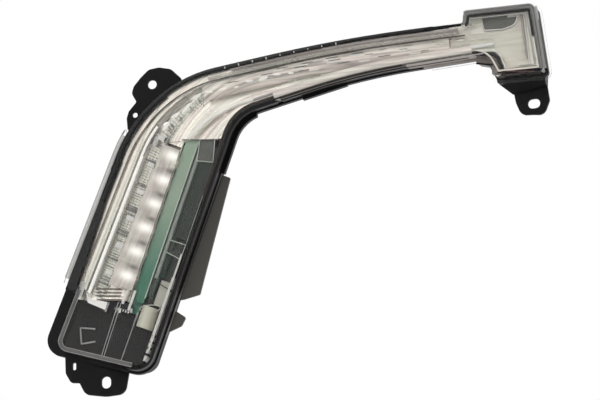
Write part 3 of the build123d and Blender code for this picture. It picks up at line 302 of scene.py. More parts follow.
coat("seal_rubber", (0.012, 0.012, 0.012), 0.7, tone=0.4, bump=0.4, mirror=0.15)
coat("ferrite", (0.03, 0.03, 0.03), 0.6, tone=0.5, bump=0.4, mirror=0.2)
coat("can_metal", (0.6, 0.6, 0.61), 0.3, metallic=1)
# The glow is painted light: it brightens the white of the guide's stripe and of the foot's wedge.
coat("stripe_white", (0.93, 0.905, 0.87), 0.35, tone=0.12, glow=0.12)
coat("spot_white", (0.95, 0.94, 0.88), 0.3, tone=0.05)
coat("line_white", (0.42, 0.42, 0.41), 0.35, tone=0.1)
coat("mark_grey", (0.3, 0.3, 0.295), 0.45)
coat("wedge_white", (0.66, 0.65, 0.62), 0.35)
coat("stripe_brown", (0.2, 0.15, 0.135), 0.4, tone=0.3)
coat("floor_paint", (0.88, 0.88, 0.88), 0.8, tone=0.04, patch=0.6, grain=60)
print("opaque finishes:", len(finish))

# %% [markdown]
# ## Colour that changes from place to place
# The green board is dark at its foot, and the side plate catches the light. A finish fades into a second
# colour there: each limit is a direction and two distances along it.

# %% Mix in the second colours


def mix_color(tree, color, share):
    """Mixes a base colour into another one by a share, 0 to 1."""
    target = tree.nodes["Principled BSDF"].inputs["Base Color"]
    source = target.links[0].from_socket
    # Inputs 6 and 7 of the mix node are its two colours, and output 2 is the mixed colour.
    mix = add_node(tree, "ShaderNodeMix", {0: share, 6: source, 7: (*color, 1)}, data_type="RGBA")
    tree.links.new(mix.outputs[2], target)


def regional_color(name, color, limits):
    """Mixes a finish into another colour past every limit: a direction, from and to in mm."""
    tree = finish[name].node_tree
    position = object_place(tree)
    share = 1
    for direction, low, high in limits:
        reach = vector_node(tree, "DOT_PRODUCT", position, {1: direction}).outputs["Value"]
        fade = {"From Min": low * MM, "From Max": high * MM, "Value": reach}
        step = add_node(tree, "ShaderNodeMapRange", fade)
        share = math_node(tree, "MULTIPLY", step.outputs["Result"], share)
    mix_color(tree, color, share)


WALL_UP = line_direction(FOOT_RIGHT, ELBOW_INNER)
WALL_OUT = (WALL_UP[1], 0, -WALL_UP[0])
WALL_REACH = FOOT_RIGHT[0] * WALL_OUT[0] + FOOT_RIGHT[1] * WALL_OUT[2]
PLATE_FRONT_Y = -3
DOWN = (0, 0, -1)
regional_color("board_green", (0.045, 0.16, 0.115), [(DOWN, 100, 142)])
regional_color("board_face", (0.05, 0.165, 0.11), [(DOWN, 88, 140)])
# The black plastic turns grey on the side plate: a painted highlight where the plate catches the light.
regional_color("black_plastic", (0.19, 0.182, 0.165), [
    (WALL_OUT, WALL_REACH - 1, WALL_REACH - 0.5), ((0, 1, 0), PLATE_FRONT_Y, PLATE_FRONT_Y + 1),
    (DOWN, 55, 62), ((0, 0, 1), -185, -180)])
print("second colours laid")

# %% [markdown]
# ## Thin films
# Many soft marks behind the lens are neither solid nor clear: painted reflection on the lens edges, faint
# ribs, light and shade on the silver. Each is a thin film that lets part of the light through, and many of
# them are painted light.

# %% Make the films
FILM_ROUGHNESS = 0.3
FILMS = {
    "edge_frost": (0.38, 0.375, 0.36, 0.85), "skirt_film": (0.6, 0.6, 0.585, 0.8),
    "flange_film": (0.21, 0.21, 0.2, 0.75), "foot_film": (0.185, 0.18, 0.175, 0.7),
    "warm_film": (0.36, 0.32, 0.3, 0.55), "olive_film": (0.36, 0.35, 0.31, 0.35),
    "rib_shade_film": (0.19, 0.18, 0.17, 0.52), "rib_light": (0.75, 0.74, 0.71, 0.8),
    "fill_grey": (0.46, 0.445, 0.42, 0.9), "cell_film": (0.78, 0.745, 0.71, 0.5),
    "arc_film": (0.9, 0.88, 0.82, 0.6), "field_film": (0.88, 0.83, 0.79, 0.5),
    "low_film": (0.8, 0.755, 0.72, 0.8), "patch_highlight_film": (1, 0.98, 0.93, 0.65),
    "stroke_dark": (0.14, 0.125, 0.115, 0.65), "stroke_white": (0.95, 0.94, 0.9, 0.5),
    "face_film": (0.7, 0.68, 0.62, 0.7), "red_line": (0.12, 0.06, 0.05, 0.6),
    "rim_cream": (0.62, 0.61, 0.54, 0.75), "pale_line": (0.55, 0.6, 0.52, 0.8),
    "clip_film": (0.12, 0.125, 0.11, 0.5), "board_mist": (0.3, 0.34, 0.3, 0.7),
}
for name, (*color, alpha) in FILMS.items():
    coat(name, color, FILM_ROUGHNESS)
    finish[name].node_tree.nodes["Principled BSDF"].inputs["Alpha"].default_value = alpha
print("films:", len(FILMS))

# %% [markdown]
# ## Streaks that follow the lamp
# The silver coat gets long streaks of painted reflection, with a faint painted tint, that run down the leg,
# round the elbow and out along the arm. A streak is noise that changes fast across the lamp and slowly along
# it. Across is the distance to the centre of the elbow's bend, less its part down the leg or along the arm.

# %% Build the streak group and lay it on the silver
BEND_CENTRE = (99, -84)
LEG_DOWN = line_direction(ELBOW_OUTER, FOOT_LEFT)
ARM_OUT = line_direction((94.7, 0.9), (252, 18.5))
TINT_STOPS = [(0.38, (1, 0.94, 0.91, 1)), (0.62, (0.97, 0.985, 0.93, 1))]


def without_run(tree, vector, direction):
    """Vector without its part along a front-view direction."""
    flat = (direction[0], 0, direction[1])
    run = vector_node(tree, "DOT_PRODUCT", vector, {1: flat}).outputs["Value"]
    ahead = vector_node(tree, "SCALE", flat, {"Scale": math_node(tree, "MAXIMUM", run)})
    return vector_node(tree, "SUBTRACT", vector, {1: ahead.outputs[0]}).outputs[0]


group, given, outside = add_group("lamp_streaks", "ShaderNodeTree", {
    "Across Scale": "Float", "Along Scale": "Float"}, {"Streak": "Float", "Tint": "Color"})
position = object_place(group)
flat = vector_node(group, "MULTIPLY", position, {1: (1, 0, 1)}).outputs[0]
centre = (BEND_CENTRE[0] * MM, 0, BEND_CENTRE[1] * MM)
offset = vector_node(group, "SUBTRACT", flat, {1: centre}).outputs[0]
across = vector_node(group, "LENGTH", without_run(group, without_run(group, offset, LEG_DOWN), ARM_OUT))
along = vector_node(group, "SCALE", position, {"Scale": given["Along Scale"]})
slow = add_node(group, "ShaderNodeSeparateXYZ", {0: along.outputs[0]}).outputs
fast = math_node(group, "MULTIPLY", across.outputs["Value"], given["Across Scale"])
joined = add_node(group, "ShaderNodeCombineXYZ", {"X": fast, "Y": slow["X"], "Z": slow["Z"]}).outputs[0]
tint = add_node(group, "ShaderNodeValToRGB", {"Fac": noise_at(group, joined, 0.35, 1)})
for stop, (reach, color) in zip(tint.color_ramp.elements, TINT_STOPS):
    stop.position = reach
    stop.color = color
feed(group, outside, {"Streak": noise_at(group, joined, 1, 2.5), "Tint": tint.outputs["Color"]})
streak_group = group


def lay_streaks(name, dark, light, across, along):
    """Multiplies a finish's colour by streaks of painted reflection, between a dark and a light level."""
    tree = finish[name].node_tree
    target = tree.nodes["Principled BSDF"].inputs["Base Color"]
    source = target.links[0].from_socket
    scales = {"Across Scale": across, "Along Scale": along}
    streaks = add_node(tree, "ShaderNodeGroup", scales, node_tree=streak_group).outputs
    level = add_node(tree, "ShaderNodeMapRange", {
        "From Min": 0.35, "From Max": 0.65, "To Min": dark, "To Max": light, "Value": streaks["Streak"]})
    tinted = vector_node(tree, "MULTIPLY", source, {1: streaks["Tint"]}).outputs[0]
    scaled = vector_node(tree, "SCALE", tinted, {"Scale": level.outputs["Result"]})
    tree.links.new(scaled.outputs[0], target)


# Painted streaky reflection on the silver coat and on the films that lie over it.
lay_streaks("silver_coat", 0.72, 1.14, across=420, along=7)
lay_streaks("panel_silver", 0.86, 1.1, across=60, along=20)
lay_streaks("cell_film", 0.8, 1.15, across=500, along=60)
lay_streaks("field_film", 0.55, 1.35, across=520, along=26)
lay_streaks("low_film", 0.75, 1.2, across=520, along=26)
lay_streaks("face_film", 0.9, 1.12, across=300, along=40)
print("streak group nodes:", len(streak_group.nodes))

# %% [markdown]
# ## Soft spots in the cells
# Each cell of the leg shows a soft painted highlight, which also glows a little, and a soft spot of painted
# shade. Films laid over each other would block the light, so both are drawn in the one film of the cells, as
# rows of spots that fade away from their centres.

# %% Lay the painted highlights and the painted shade
CELL_PITCH = 18.3
HIGHLIGHT_COLOR = (1, 0.98, 0.93)
HIGHLIGHT_GLOW = 0.13
CLEAREST = 0.5
SPOT_COVER = 0.45


def lay_spots(tree, first, last, along, across, color, strength):
    """Mixes a row of soft spots, one to a cell, into a film's colour."""
    run = line_direction(first, last)
    start = (first[0] * MM, 0, first[1] * MM)
    offset = vector_node(tree, "SUBTRACT", object_place(tree), {1: start}).outputs[0]
    reach = vector_node(tree, "DOT_PRODUCT", offset, {1: (run[0], 0, run[1])}).outputs["Value"]
    side = vector_node(tree, "DOT_PRODUCT", offset, {1: (run[1], 0, -run[0])}).outputs["Value"]
    turn = math_node(tree, "ADD", math_node(tree, "DIVIDE", reach, CELL_PITCH * MM), 0.5)
    from_centre = math_node(tree, "SUBTRACT", math_node(tree, "FRACT", turn), 0.5)
    steps = math_node(tree, "MULTIPLY", from_centre, CELL_PITCH / along)
    sides = math_node(tree, "DIVIDE", side, across * MM)
    squares = [math_node(tree, "MULTIPLY", way, way) for way in (steps, sides)]
    distance = math_node(tree, "MULTIPLY", math_node(tree, "ADD", *squares), -1)
    share = math_node(tree, "MULTIPLY", math_node(tree, "EXPONENT", distance), strength)
    mix_color(tree, color, share)
    return share


cell_tree = finish["cell_film"].node_tree
# Each cup gets a spot of painted shade and a painted highlight that also glows a little.
shade_spots = lay_spots(cell_tree, leg_point(41.5, 76), leg_point(41.5, 160), 2.6, 5.4, (0.15, 0.135, 0.12), 1)
highlights = lay_spots(cell_tree, leg_point(39.2, 68.9), leg_point(38.8, 162), 3.6, 6.6, HIGHLIGHT_COLOR, 0.95)
cover = math_node(cell_tree, "MULTIPLY", math_node(cell_tree, "MAXIMUM", highlights, shade_spots), SPOT_COVER)
feed(cell_tree, cell_tree.nodes["Principled BSDF"], {
    "Emission Color": (*HIGHLIGHT_COLOR, 1),
    "Emission Strength": math_node(cell_tree, "MULTIPLY", highlights, HIGHLIGHT_GLOW),
    "Alpha": math_node(cell_tree, "ADD", cover, CLEAREST)})
print("cell film nodes:", len(cell_tree.nodes))

# %% [markdown]
# ## Clear plastic
# A transmission shader bends and reflects the light in the lens and the guide. A shadow ray passes straight
# through, because the inside of the lamp would otherwise be left in the dark.

# %% Make the clear finishes


def add_clear(name, color, roughness, bend):
    """Clear plastic that lets shadow rays pass straight."""
    material = bpy.data.materials.new(name)
    material.use_nodes = True
    tree = material.node_tree
    shader = tree.nodes["Principled BSDF"]
    smear = math_node(tree, "MULTIPLY", noise_at(tree, object_place(tree), 30), roughness)
    feed(tree, shader, {
        "Base Color": (*color, 1), "IOR": bend, "Transmission Weight": 1, "Roughness": smear})
    passing = add_node(tree, "ShaderNodeBsdfTransparent", {"Color": (*color, 1)})
    rays = add_node(tree, "ShaderNodeLightPath")
    mix = add_node(tree, "ShaderNodeMixShader", {
        "Fac": rays.outputs["Is Shadow Ray"], 1: shader.outputs[0], 2: passing.outputs[0]})
    feed(tree, tree.nodes["Material Output"], {"Surface": mix.outputs[0]})
    finish[name] = material


add_clear("lens_clear", (0.965, 0.965, 0.96), 0.02, 1.25)
add_clear("guide_clear", (0.93, 0.94, 0.93), 0.25, 1.3)
add_clear("carrier_clear", (0.93, 0.93, 0.9), 0.3, 1.25)
print("finishes in all:", len(finish))

# %% [markdown]
# ## Dress the CAD pieces
# Each solid keeps its mesh and only gets the finish that the real piece has.

# %% Give each solid its finish
NODE_FINISH = {
    "rear_housing": "black_plastic", "outer_lens": "lens_clear", "sealant_bead": "glue_black",
    "reflector_bezel": "silver_coat", "light_guide": "guide_clear", "leg_reflector": "silver_coat",
    "arm_reflector": "silver_coat", "end_box_reflector": "panel_silver", "leg_circuit_board": "board_green",
    "leg_leds": "lamp_package", "heat_sink": "dark_metal", "heat_sink_screws": "screw_steel",
    "board_carrier": "carrier_clear", "board_connector": "black_gloss", "connector_pins": "tin_plate",
    "lead_connector": "cream_plastic", "lead_sleeve": "sleeve_cream", "side_diffuser": "pale_plastic",
    "compartment_cover": "floor_black", "driver_board": "board_green", "driver_screws": "screw_steel",
    "driver_choke": "ferrite", "driver_capacitors": "can_metal", "driver_chips": "black_gloss",
    "arm_circuit_board": "board_green", "arm_leds": "lamp_pale", "power_socket": "black_plastic",
    "socket_seal": "seal_rubber", "socket_terminals": "contact_brass", "breather_cap": "seal_rubber",
}
for name, look in NODE_FINISH.items():
    nodes[name].data.materials.clear()
    nodes[name].data.materials.append(finish[look])
floor.data.materials.append(finish["floor_paint"])
print("dressed", len(NODE_FINISH), "of", len(nodes), "pieces")

# %% [markdown]
# ## Paths along the lamp
# Most lines on the lamp run beside its outline. So the outline is written once, as corners and radii, and
# functions move it inward by a distance and round its corners.

# %% Outline and offset paths
OUTLINE = [
    FOOT_LEFT, ELBOW_OUTER, (138.6, 23.6), (230.9, 33.6), (231.4, 41.3), (280.6, 46), (288.1, -1.6),
    (253.7, -4.5), (245, 11.9), (155.4, -0.3), ELBOW_INNER, FOOT_RIGHT,
]
OUTLINE_RADII = [8.4, 97.7, 1198, 2, 2.5, 3.5, 2, 2, 12, 500, 30, 13]
SET_BACK_LOW = leg_point(8.5, 40)
SET_BACK_HIGH = leg_point(0, 48)
ARC_STEPS = 14


def crossing(p, along_p, q, along_q):
    """Where two lines cross, each given by a point and a direction."""
    reach = (q[0] - p[0]) * along_q[1] - (q[1] - p[1]) * along_q[0]
    reach /= along_p[0] * along_q[1] - along_p[1] * along_q[0]
    return (p[0] + reach * along_p[0], p[1] + reach * along_p[1])


def moved_chain(corners, radii, shift, closed=False):
    """Corners and radii of a chain of sides that all move to their right by shift."""
    count = len(corners)
    pairs = [(corners[i], corners[(i + 1) % count]) for i in range(count if closed else count - 1)]
    sides = [(beside(*pair, shift), line_direction(*pair)) for pair in pairs]
    moved = [crossing(*sides[i - 1], *sides[i]) for i in range(0 if closed else 1, len(sides))]
    new_radii = []
    for i in range(0 if closed else 1, len(sides)):
        ux, uz = sides[i - 1][1]
        vx, vz = sides[i][1]
        bends_right = ux * vz - uz * vx < 0
        new_radii.append(max(radii[i] - shift if bends_right else radii[i] + shift, 0))
    if closed:
        return moved, new_radii
    end = tuple(a + b - c for a, b, c in zip(sides[-1][0], corners[-1], corners[-2]))
    return [sides[0][0], *moved, end], [0, *new_radii, 0]


def rounded_corner(before, corner, after, radius):
    """Points of the arc that rounds one corner."""
    back = line_direction(corner, before)
    ahead = line_direction(corner, after)
    opening = math.acos(max(-1, min(1, back[0] * ahead[0] + back[1] * ahead[1])))
    if radius < 0.01 or abs(math.pi - opening) < 0.001:
        return [corner]
    reach = radius / math.tan(opening / 2)
    middle = (back[0] + ahead[0], back[1] + ahead[1])
    size = math.hypot(*middle)
    far = radius / math.sin(opening / 2)
    centre = (corner[0] + middle[0] / size * far, corner[1] + middle[1] / size * far)
    first, last = [math.atan2(corner[1] + way[1] * reach - centre[1], corner[0] + way[0] * reach - centre[0])
                   for way in (back, ahead)]
    sweep = (last - first + math.pi) % (2 * math.pi) - math.pi
    angles = [first + sweep * i / ARC_STEPS for i in range(ARC_STEPS + 1)]
    return [(centre[0] + radius * math.cos(a), centre[1] + radius * math.sin(a)) for a in angles]


def rounded_path(corners, radii, closed=False):
    """Front-view points of a chain with round corners."""
    count = len(corners)
    points = [] if closed else [corners[0]]
    for i in range(0 if closed else 1, count if closed else count - 1):
        points += rounded_corner(corners[i - 1], corners[i], corners[(i + 1) % count], radii[i])
    return points if closed else [*points, corners[-1]]


LEG_UP = line_direction(FOOT_LEFT, ELBOW_OUTER)
FOOT_CORNER = crossing(SET_BACK_LOW, LEG_UP, FOOT_LEFT, line_direction(FOOT_RIGHT, FOOT_LEFT))
FAR = 999


def foot_line(share):
    """Point on the leg's foot, a share of the way from its right corner to its left."""
    return tuple(right * (1 - share) + left * share for right, left in zip(FOOT_RIGHT, FOOT_LEFT))


def lens_path(inset):
    """Closed path beside the lens outline, which steps in at the bottom compartment."""
    corners = [FOOT_CORNER, SET_BACK_LOW, SET_BACK_HIGH, *OUTLINE[1:]]
    radii = [OUTLINE_RADII[0], 4, 4, *OUTLINE_RADII[1:]]
    return rounded_path(*moved_chain(corners, radii, inset, closed=True), closed=True)


def top_path(inset):
    """Path beside the leg's left wall, the elbow and the arm's top."""
    return rounded_path(*moved_chain(OUTLINE[:4], OUTLINE_RADII[:4], inset))


def inner_path(inset):
    """Path beside the arm's underside, the inner elbow and the leg's right wall."""
    return rounded_path(*moved_chain([*OUTLINE[8:12], foot_line(0.2)], [*OUTLINE_RADII[8:12], 0], inset))


def foot_path(inset):
    """Path beside the foot of the leg, from its right to the step on its left."""
    corners = [foot_line(0.14), FOOT_CORNER, leg_point(8.5, 47.5)]
    return rounded_path(*moved_chain(corners, [0, OUTLINE_RADII[0], 0], inset))


def spread(points, gap=4):
    """Path with points added on its long runs, to follow the curved face."""
    result = [points[0]]
    for start, end in zip(points, points[1:]):
        count = max(1, math.ceil(math.dist(start, end) / gap))
        result += [tuple(a + (b - a) * i / count for a, b in zip(start, end)) for i in range(1, count + 1)]
    return result


def part(path, x=(-FAR, FAR), z=(-FAR, FAR)):
    """Part of a path between two X values and between two Z values."""
    return [point for point in spread(path) if x[0] <= point[0] <= x[1] and z[0] <= point[1] <= z[1]]


def on_leg(*places):
    """Front-view points given across and up the leg."""
    return [leg_point(*point) for point in places]


def on_wall(*places):
    """Front-view points given inward from the leg's right wall and up."""
    return [wall_point(*point) for point in places]


print("lens path points:", len(lens_path(0)))

# %% [markdown]
# ## A strip that follows a path
# A lens edge or a reflector step is a thin strip with one cross section. Geometry Nodes sweeps a rectangle
# along a curve for that: one tree serves every strip, and only its sizes change.

# %% Build the strip tree


def facing_curve(tree, curve):
    """Curve that keeps its sections square to the lamp's face."""
    inputs = {"Curve": curve, "Normal": (0, 1, 0)}
    return add_node(tree, "GeometryNodeSetCurveNormal", inputs, mode="FREE").outputs["Curve"]


def finish_tree(tree, given, outside, geometry):
    """Ends a tree in Realize Instances and Set Material."""
    real = add_node(tree, "GeometryNodeRealizeInstances", {0: geometry}).outputs[0]
    painted = add_node(tree, "GeometryNodeSetMaterial", {"Geometry": real, "Material": given["Material"]})
    feed(tree, outside, {"Geometry": painted.outputs[0]})


group, given, outside = add_group("strip_along_path", "GeometryNodeTree", {
    "Geometry": "Geometry", "Width": "Float", "Thickness": "Float", "Material": "Material",
}, {"Geometry": "Geometry"})
sides = {"Height": given["Width"], "Width": given["Thickness"]}
section = add_node(group, "GeometryNodeCurvePrimitiveQuadrilateral", sides)
sweep = add_node(group, "GeometryNodeCurveToMesh", {
    "Curve": facing_curve(group, given["Geometry"]), "Profile Curve": section.outputs["Curve"],
    "Fill Caps": True})
finish_tree(group, given, outside, sweep.outputs["Mesh"])
strip_tree = group


def curve_object(name, paths, depth, closed=False):
    """Curve whose splines run through front-view points at one depth."""
    data = bpy.data.curves.new(name, "CURVE")
    data.dimensions = "3D"
    for path in paths:
        spline = data.splines.new("POLY")
        points = [place(point, depth) for point in spread(path)]
        spline.points.add(len(points) - 1)
        for target, point in zip(spline.points, points):
            target.co = (*point, 1)
        spline.use_cyclic_u = closed
    return add_object(name, data)


def ride(name, mesh):
    """Piece of a plain mesh, its faces turned outward, that rides on the lamp."""
    fix = bmesh.new()
    fix.from_mesh(mesh)
    bmesh.ops.recalc_face_normals(fix, faces=fix.faces)
    fix.to_mesh(mesh)
    fix.free()
    piece = add_object(name, mesh)
    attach(piece, "root")
    return piece


def settle(source, tree, values):
    """Runs a geometry tree on a piece and keeps the result as a plain mesh."""
    modifier = source.modifiers.new(tree.name, "NODES")
    modifier.node_group = tree
    for item in tree.interface.items_tree:
        if item.in_out == "INPUT" and item.name in values:
            modifier[item.identifier] = values[item.name]
    bpy.context.view_layer.update()
    evaluated = source.evaluated_get(bpy.context.evaluated_depsgraph_get())
    mesh = bpy.data.meshes.new_from_object(evaluated)
    name = source.name
    bpy.data.objects.remove(source)
    mesh.name = name
    print(name, "faces:", len(mesh.polygons))
    return ride(name, mesh)


def strips(name, paths, width, front, back, look, slot, closed=False):
    """Strips of one width along front-view paths, between two depths."""
    sizes = {"Width": width * MM, "Thickness": (back - front) * MM, "Material": finish[look]}
    return settle(curve_object(name, paths, (front + back) / 2, closed), strip_tree, sizes)


print("strip tree nodes:", len(strip_tree.nodes))

# %% [markdown]
# ## The edges of the clear lens
# A clear moulding looks grey where it is seen edge on, from the light it reflects. The lamp shows that as
# pale grey lines round the lens, along the skirt and round the end box. Thin strips with that grey painted
# in, a painted reflection, give the same lines from every side.

# %% Edges, skirt and flange of the lens
SKIRT = ((-FAR, leg_point(0, 165)[0]), (leg_point(0, 50)[1], FAR))


def box_part(inset, low):
    """Lens edge round the end box, down to a Z value on the box's left."""
    around = part(lens_path(inset), (231, FAR), (0, FAR))
    return [point for point in around if point[1] > low or point[0] > 270]


# These films are painted reflection of the clear lens where it is seen edge on.
LENS_EDGES = [
    ("skirt_edge", [part(top_path(-1.35), *SKIRT)], 3.3, 0.4, 2, "skirt_film"),
    ("skirt_rim", [part(top_path(-3), *SKIRT)], 0.4, 0.2, 2.2, "edge_frost"),
    ("foot_edge_band", [foot_path(2)], 2.6, 1.2, 1.5, "foot_film"),
    ("foot_edge_lines", [foot_path(0.7), foot_path(3.4)], 0.5, 0.5, 1, "edge_frost"),
    ("box_flange", [box_part(0.9, 14)], 2.8, 1.4, 1.8, "flange_film"),
    ("box_side_flange", [part(lens_path(-1.2), (277, FAR), (0, 45))], 3.4, 2.6, 3, "skirt_film"),
    ("box_far_line", [part(lens_path(-2.7), (270, FAR), (0, 38))], 0.8, 2.2, 2.5, "flange_film"),
    ("box_edge_lines", [box_part(-0.9, 18), box_part(5.3, 18)], 0.9, 1, 1.3, "edge_frost"),
]
for row in LENS_EDGES:
    strips(*row, "clear_lens")

# %% [markdown]
# ## Small flat parts and repeated blocks
# Many small details are flat plates, each with its own front-view outline between two depths. Ticks, ribs
# and teeth repeat at even steps, so a second tree sets one block or ball along a path.

# %% Plates and the repeat tree


def plate(name, corners, front, back, look, slot):
    """Flat plate with a front-view outline in mm, between two depths."""
    count = len(corners)
    points = [place(corner, depth) for depth in (front, back) for corner in corners]
    faces = [tuple(range(count)), tuple(reversed(range(count, 2 * count)))]
    faces += [(i, i + count, (i + 1) % count + count, (i + 1) % count) for i in range(count)]
    mesh = bpy.data.meshes.new(name)
    mesh.from_pydata(points, [], faces)
    mesh.materials.append(finish[look])
    return ride(name, mesh)


group, given, outside = add_group("blocks_along_path", "GeometryNodeTree", {
    "Geometry": "Geometry", "Pitch": "Float", "Block Size": "Vector", "Spread": "Float",
    "Roundness": "Bool", "Material": "Material"}, {"Geometry": "Geometry"})
points = add_node(group, "GeometryNodeCurveToPoints", {
    "Curve": facing_curve(group, given["Geometry"]), "Length": given["Pitch"]}, mode="LENGTH").outputs
cube = add_node(group, "GeometryNodeMeshCube", {"Size": (1, 1, 1)}).outputs["Mesh"]
ball = add_node(group, "GeometryNodeMeshIcoSphere", {"Radius": 0.5, "Subdivisions": 3}).outputs["Mesh"]
shape = add_node(group, "GeometryNodeSwitch", {
    "Switch": given["Roundness"], "False": cube, "True": ball}, input_type="GEOMETRY")
# Inputs 2 and 3 of the random node are its smallest and largest number, and output 1 is the number.
smallest = math_node(group, "SUBTRACT", 1, given["Spread"])
chance = add_node(group, "FunctionNodeRandomValue", {2: smallest, 3: 1}).outputs[1]
size = vector_node(group, "SCALE", given["Block Size"], {"Scale": chance}).outputs[0]
setting = add_node(group, "GeometryNodeInstanceOnPoints", {
    "Points": points["Points"], "Rotation": points["Rotation"], "Instance": shape.outputs["Output"],
    "Scale": size})
finish_tree(group, given, outside, setting.outputs["Instances"])
repeat_tree = group


def repeats(name, path, pitch, along, across, front, back, look, size_spread=0.0, is_round=False):
    """Blocks or balls along a path: pitch, size along and across it, and two depths."""
    sizes = {"Pitch": pitch * MM, "Block Size": ((back - front) * MM, across * MM, along * MM),
             "Spread": size_spread, "Roundness": is_round, "Material": finish[look]}
    return settle(curve_object(name, [path], (front + back) / 2), repeat_tree, sizes)


print("repeat tree nodes:", len(repeat_tree.nodes))

# %% [markdown]
# ## The black border of the lens
# A black border hides the glued edge of the lens. It runs up the leg's left wall, over the elbow and along
# the arm, and again round the inner elbow, where brown light from the housing shows in it.

# %% Lay the border and the painted reflections on the walls
BORDER = (0.7, 0.95, "border_black", "black_plastic")
LEG_TOP = leg_point(0, 150)[0]
WALL_BEND = wall_point(0, 120)[0]
WALL_PATH = inner_path(-0.3)
ARM_WALL_PATH = [part(WALL_PATH, (95, 190))]
BORDER_RUNS = [
    ("left_border_leg", 4.2, part(top_path(2.4), (-FAR, LEG_TOP), (leg_point(0, 108)[1], FAR))),
    ("left_border_bend", 4.2, part(top_path(2), (LEG_TOP - 4, 14))),
    ("left_border_top", 3.2, part(top_path(1.4), (12, 62))),
    ("top_border_near", 3.2, part(top_path(1.4), (58, 132))),
    ("top_border_far", 2, part(top_path(0.8), (128, 207))),
    ("inner_border", 2.4, part(inner_path(0.8), (-FAR, 96), (wall_point(0, 92)[1], FAR))),
    ("inner_border_low", 1.5, on_wall((0.4, 94), (0.4, 10))),
    ("arm_border", 0.9, part(inner_path(0.2), (93, 187))),
]
for name, width, path in BORDER_RUNS:
    strips(name, [path], width, *BORDER)
plate("left_border_foot", on_leg((0.3, 112), (4.5, 112), (7.6, 46), (0.3, 44)), *BORDER)
strips("top_band", [part(top_path(4), (60, 230))], 2.2, 1.2, 1.4, "warm_film", "clear_lens")
strips("top_shade", [part(top_path(6.5), (44, 228))], 2.2, 1.2, 1.3, "olive_film", "clear_lens")
# Strips on the lens wall are painted reflection: black on the leg, grey in front of black on the arm, and
# pale at the far end and far rim. The brown line and bands are painted light from the housing.
WALL_REFLECTIONS = [
    ("wall_skin", [part(WALL_PATH, (-FAR, 98))], 0.4, 1, 19.6, "border_black"),
    ("wall_skin_arm_front", ARM_WALL_PATH, 0.4, 1, 5, "skin_grey"),
    ("wall_skin_arm_back", ARM_WALL_PATH, 0.4, 5, 19.6, "border_black"),
    ("far_rim_skin", [part(inner_path(-1), (196, 243))], 2, 19.2, 19.7, "web_pale"),
    ("wall_skin_far", [part(WALL_PATH, (187, FAR))], 0.4, 1, 19.6, "web_pale"),
    ("arm_edge_line", [part(inner_path(0.9), (90, 240))], 0.5, 0.7, 0.95, "skin_grey"),
    ("wall_skin_line", [part(inner_path(-0.6), (-FAR, 236), (wall_point(0, 16)[1], FAR))],
     0.3, 8, 11, "border_brown"),
    ("inner_brown_band", [part(inner_path(3), (WALL_BEND, 94))], 1.3, 2.9, 3.2, "border_brown"),
    ("inner_brown_line", [part(inner_path(1.5), (WALL_BEND, 92))], 0.7, 0.45, 0.65, "border_brown"),
]
for row in WALL_REFLECTIONS:
    strips(*row, "black_plastic")
LONG_STEP = part(top_path(8.3), (-FAR, 232), (leg_point(0, 58)[1], FAR))
strips("long_step_line", [LONG_STEP], 0.45, 4.1, 4.3, "rim_line", "silver_coat")
strips("arm_step_line", [part(top_path(8.5), (60, 233))], 0.9, 3.9, 4.08, "rim_line", "silver_coat")
repeats("rim_ticks", part(top_path(1.6), (56, 142)), 9.6, 0.8, 1.7, 0.2, 0.5, "rim_pale", 0.4)

# %% [markdown]
# ## The face of the light guide
# The guide has a plain white stripe, with a little painted glow, and beside it a column of fine cross ribs
# that throw the light forward; their grooves are drawn as grey blocks of painted shade. Wider marks of
# painted shade stand in groups beside the ribs, one group to a light source, each group with one mark of
# painted highlight, and the film with soft spots of painted highlight and painted shade lies on the cells.

# %% Stripe, ribs and spots
GUIDE_START = leg_point(22.2, 48)
ARM_START = (94.7, 0.9)
ARM_BEND = (184.2, 14.3)
GUIDE_BEND = crossing(GUIDE_START, LEG_UP, ARM_START, line_direction(ARM_BEND, ARM_START))
GUIDE_CORNERS = [GUIDE_START, GUIDE_BEND, ARM_BEND, (252, 18.5)]
GUIDE_RADII = [0, 86, 700, 0]
GROUP_START = 58
GROUP_PITCH = 17.5
RIB_GROUPS = [(0, 1.7, 8.6), (2.5, 0.9, 7.6), (4.6, 0.7, 8.4), (12.6, 0.8, 5)]


def guide_path(inward):
    """Path of the light guide, moved towards the inner side of the elbow."""
    return rounded_path(*moved_chain(GUIDE_CORNERS, GUIDE_RADII, inward))


def rib_group(name, across_leg, shift, along, across, look):
    """One mark of each rib group, all the way up the leg."""
    run = on_leg((across_leg, GROUP_START + shift), (across_leg, 170))
    repeats(name, run, GROUP_PITCH, along, across, 6.4, 6.8, look, 0.3)


STRIPE = (5.9, 6.15, "stripe_white", "clear_optic")
strips("guide_stripe", [part(guide_path(-5.1), z=(-FAR, -52))], 2.5, *STRIPE)
strips("guide_stripe_far", [part(guide_path(-5.4), (-FAR, 9), (-54, FAR))], 1.9, *STRIPE)
ribs_leg = part(guide_path(1.8), z=(-FAR, -42))
ribs_bend = part(guide_path(2.5), (-FAR, 84), (-44, FAR))
# Grey blocks of painted shade in the grooves of the ribs.
repeats("guide_ribs", ribs_leg, 1.9, 0.55, 9, 6.9, 7.3, "rib_shade_film", 0.6)
repeats("guide_ribs_bend", ribs_bend, 2.6, 0.7, 6.5, 6.6, 7.3, "rib_shade_film", 0.7)
# Painted highlights on the ribs at the bend.
repeats("guide_glints", ribs_bend, 3.7, 1, 5, 6.2, 6.5, "rib_light", 0.7)
plate("bend_fill", [(3, -46.2), (6.7, -38.2), (9.3, -39), (5.6, -47.2)], 6.2, 6.4, "fill_grey", "silver_coat")
for number, (shift, along, across) in enumerate(RIB_GROUPS):
    rib_group(f"rib_group_{number}", 24.2, shift, along, across, "rib_shade_film")
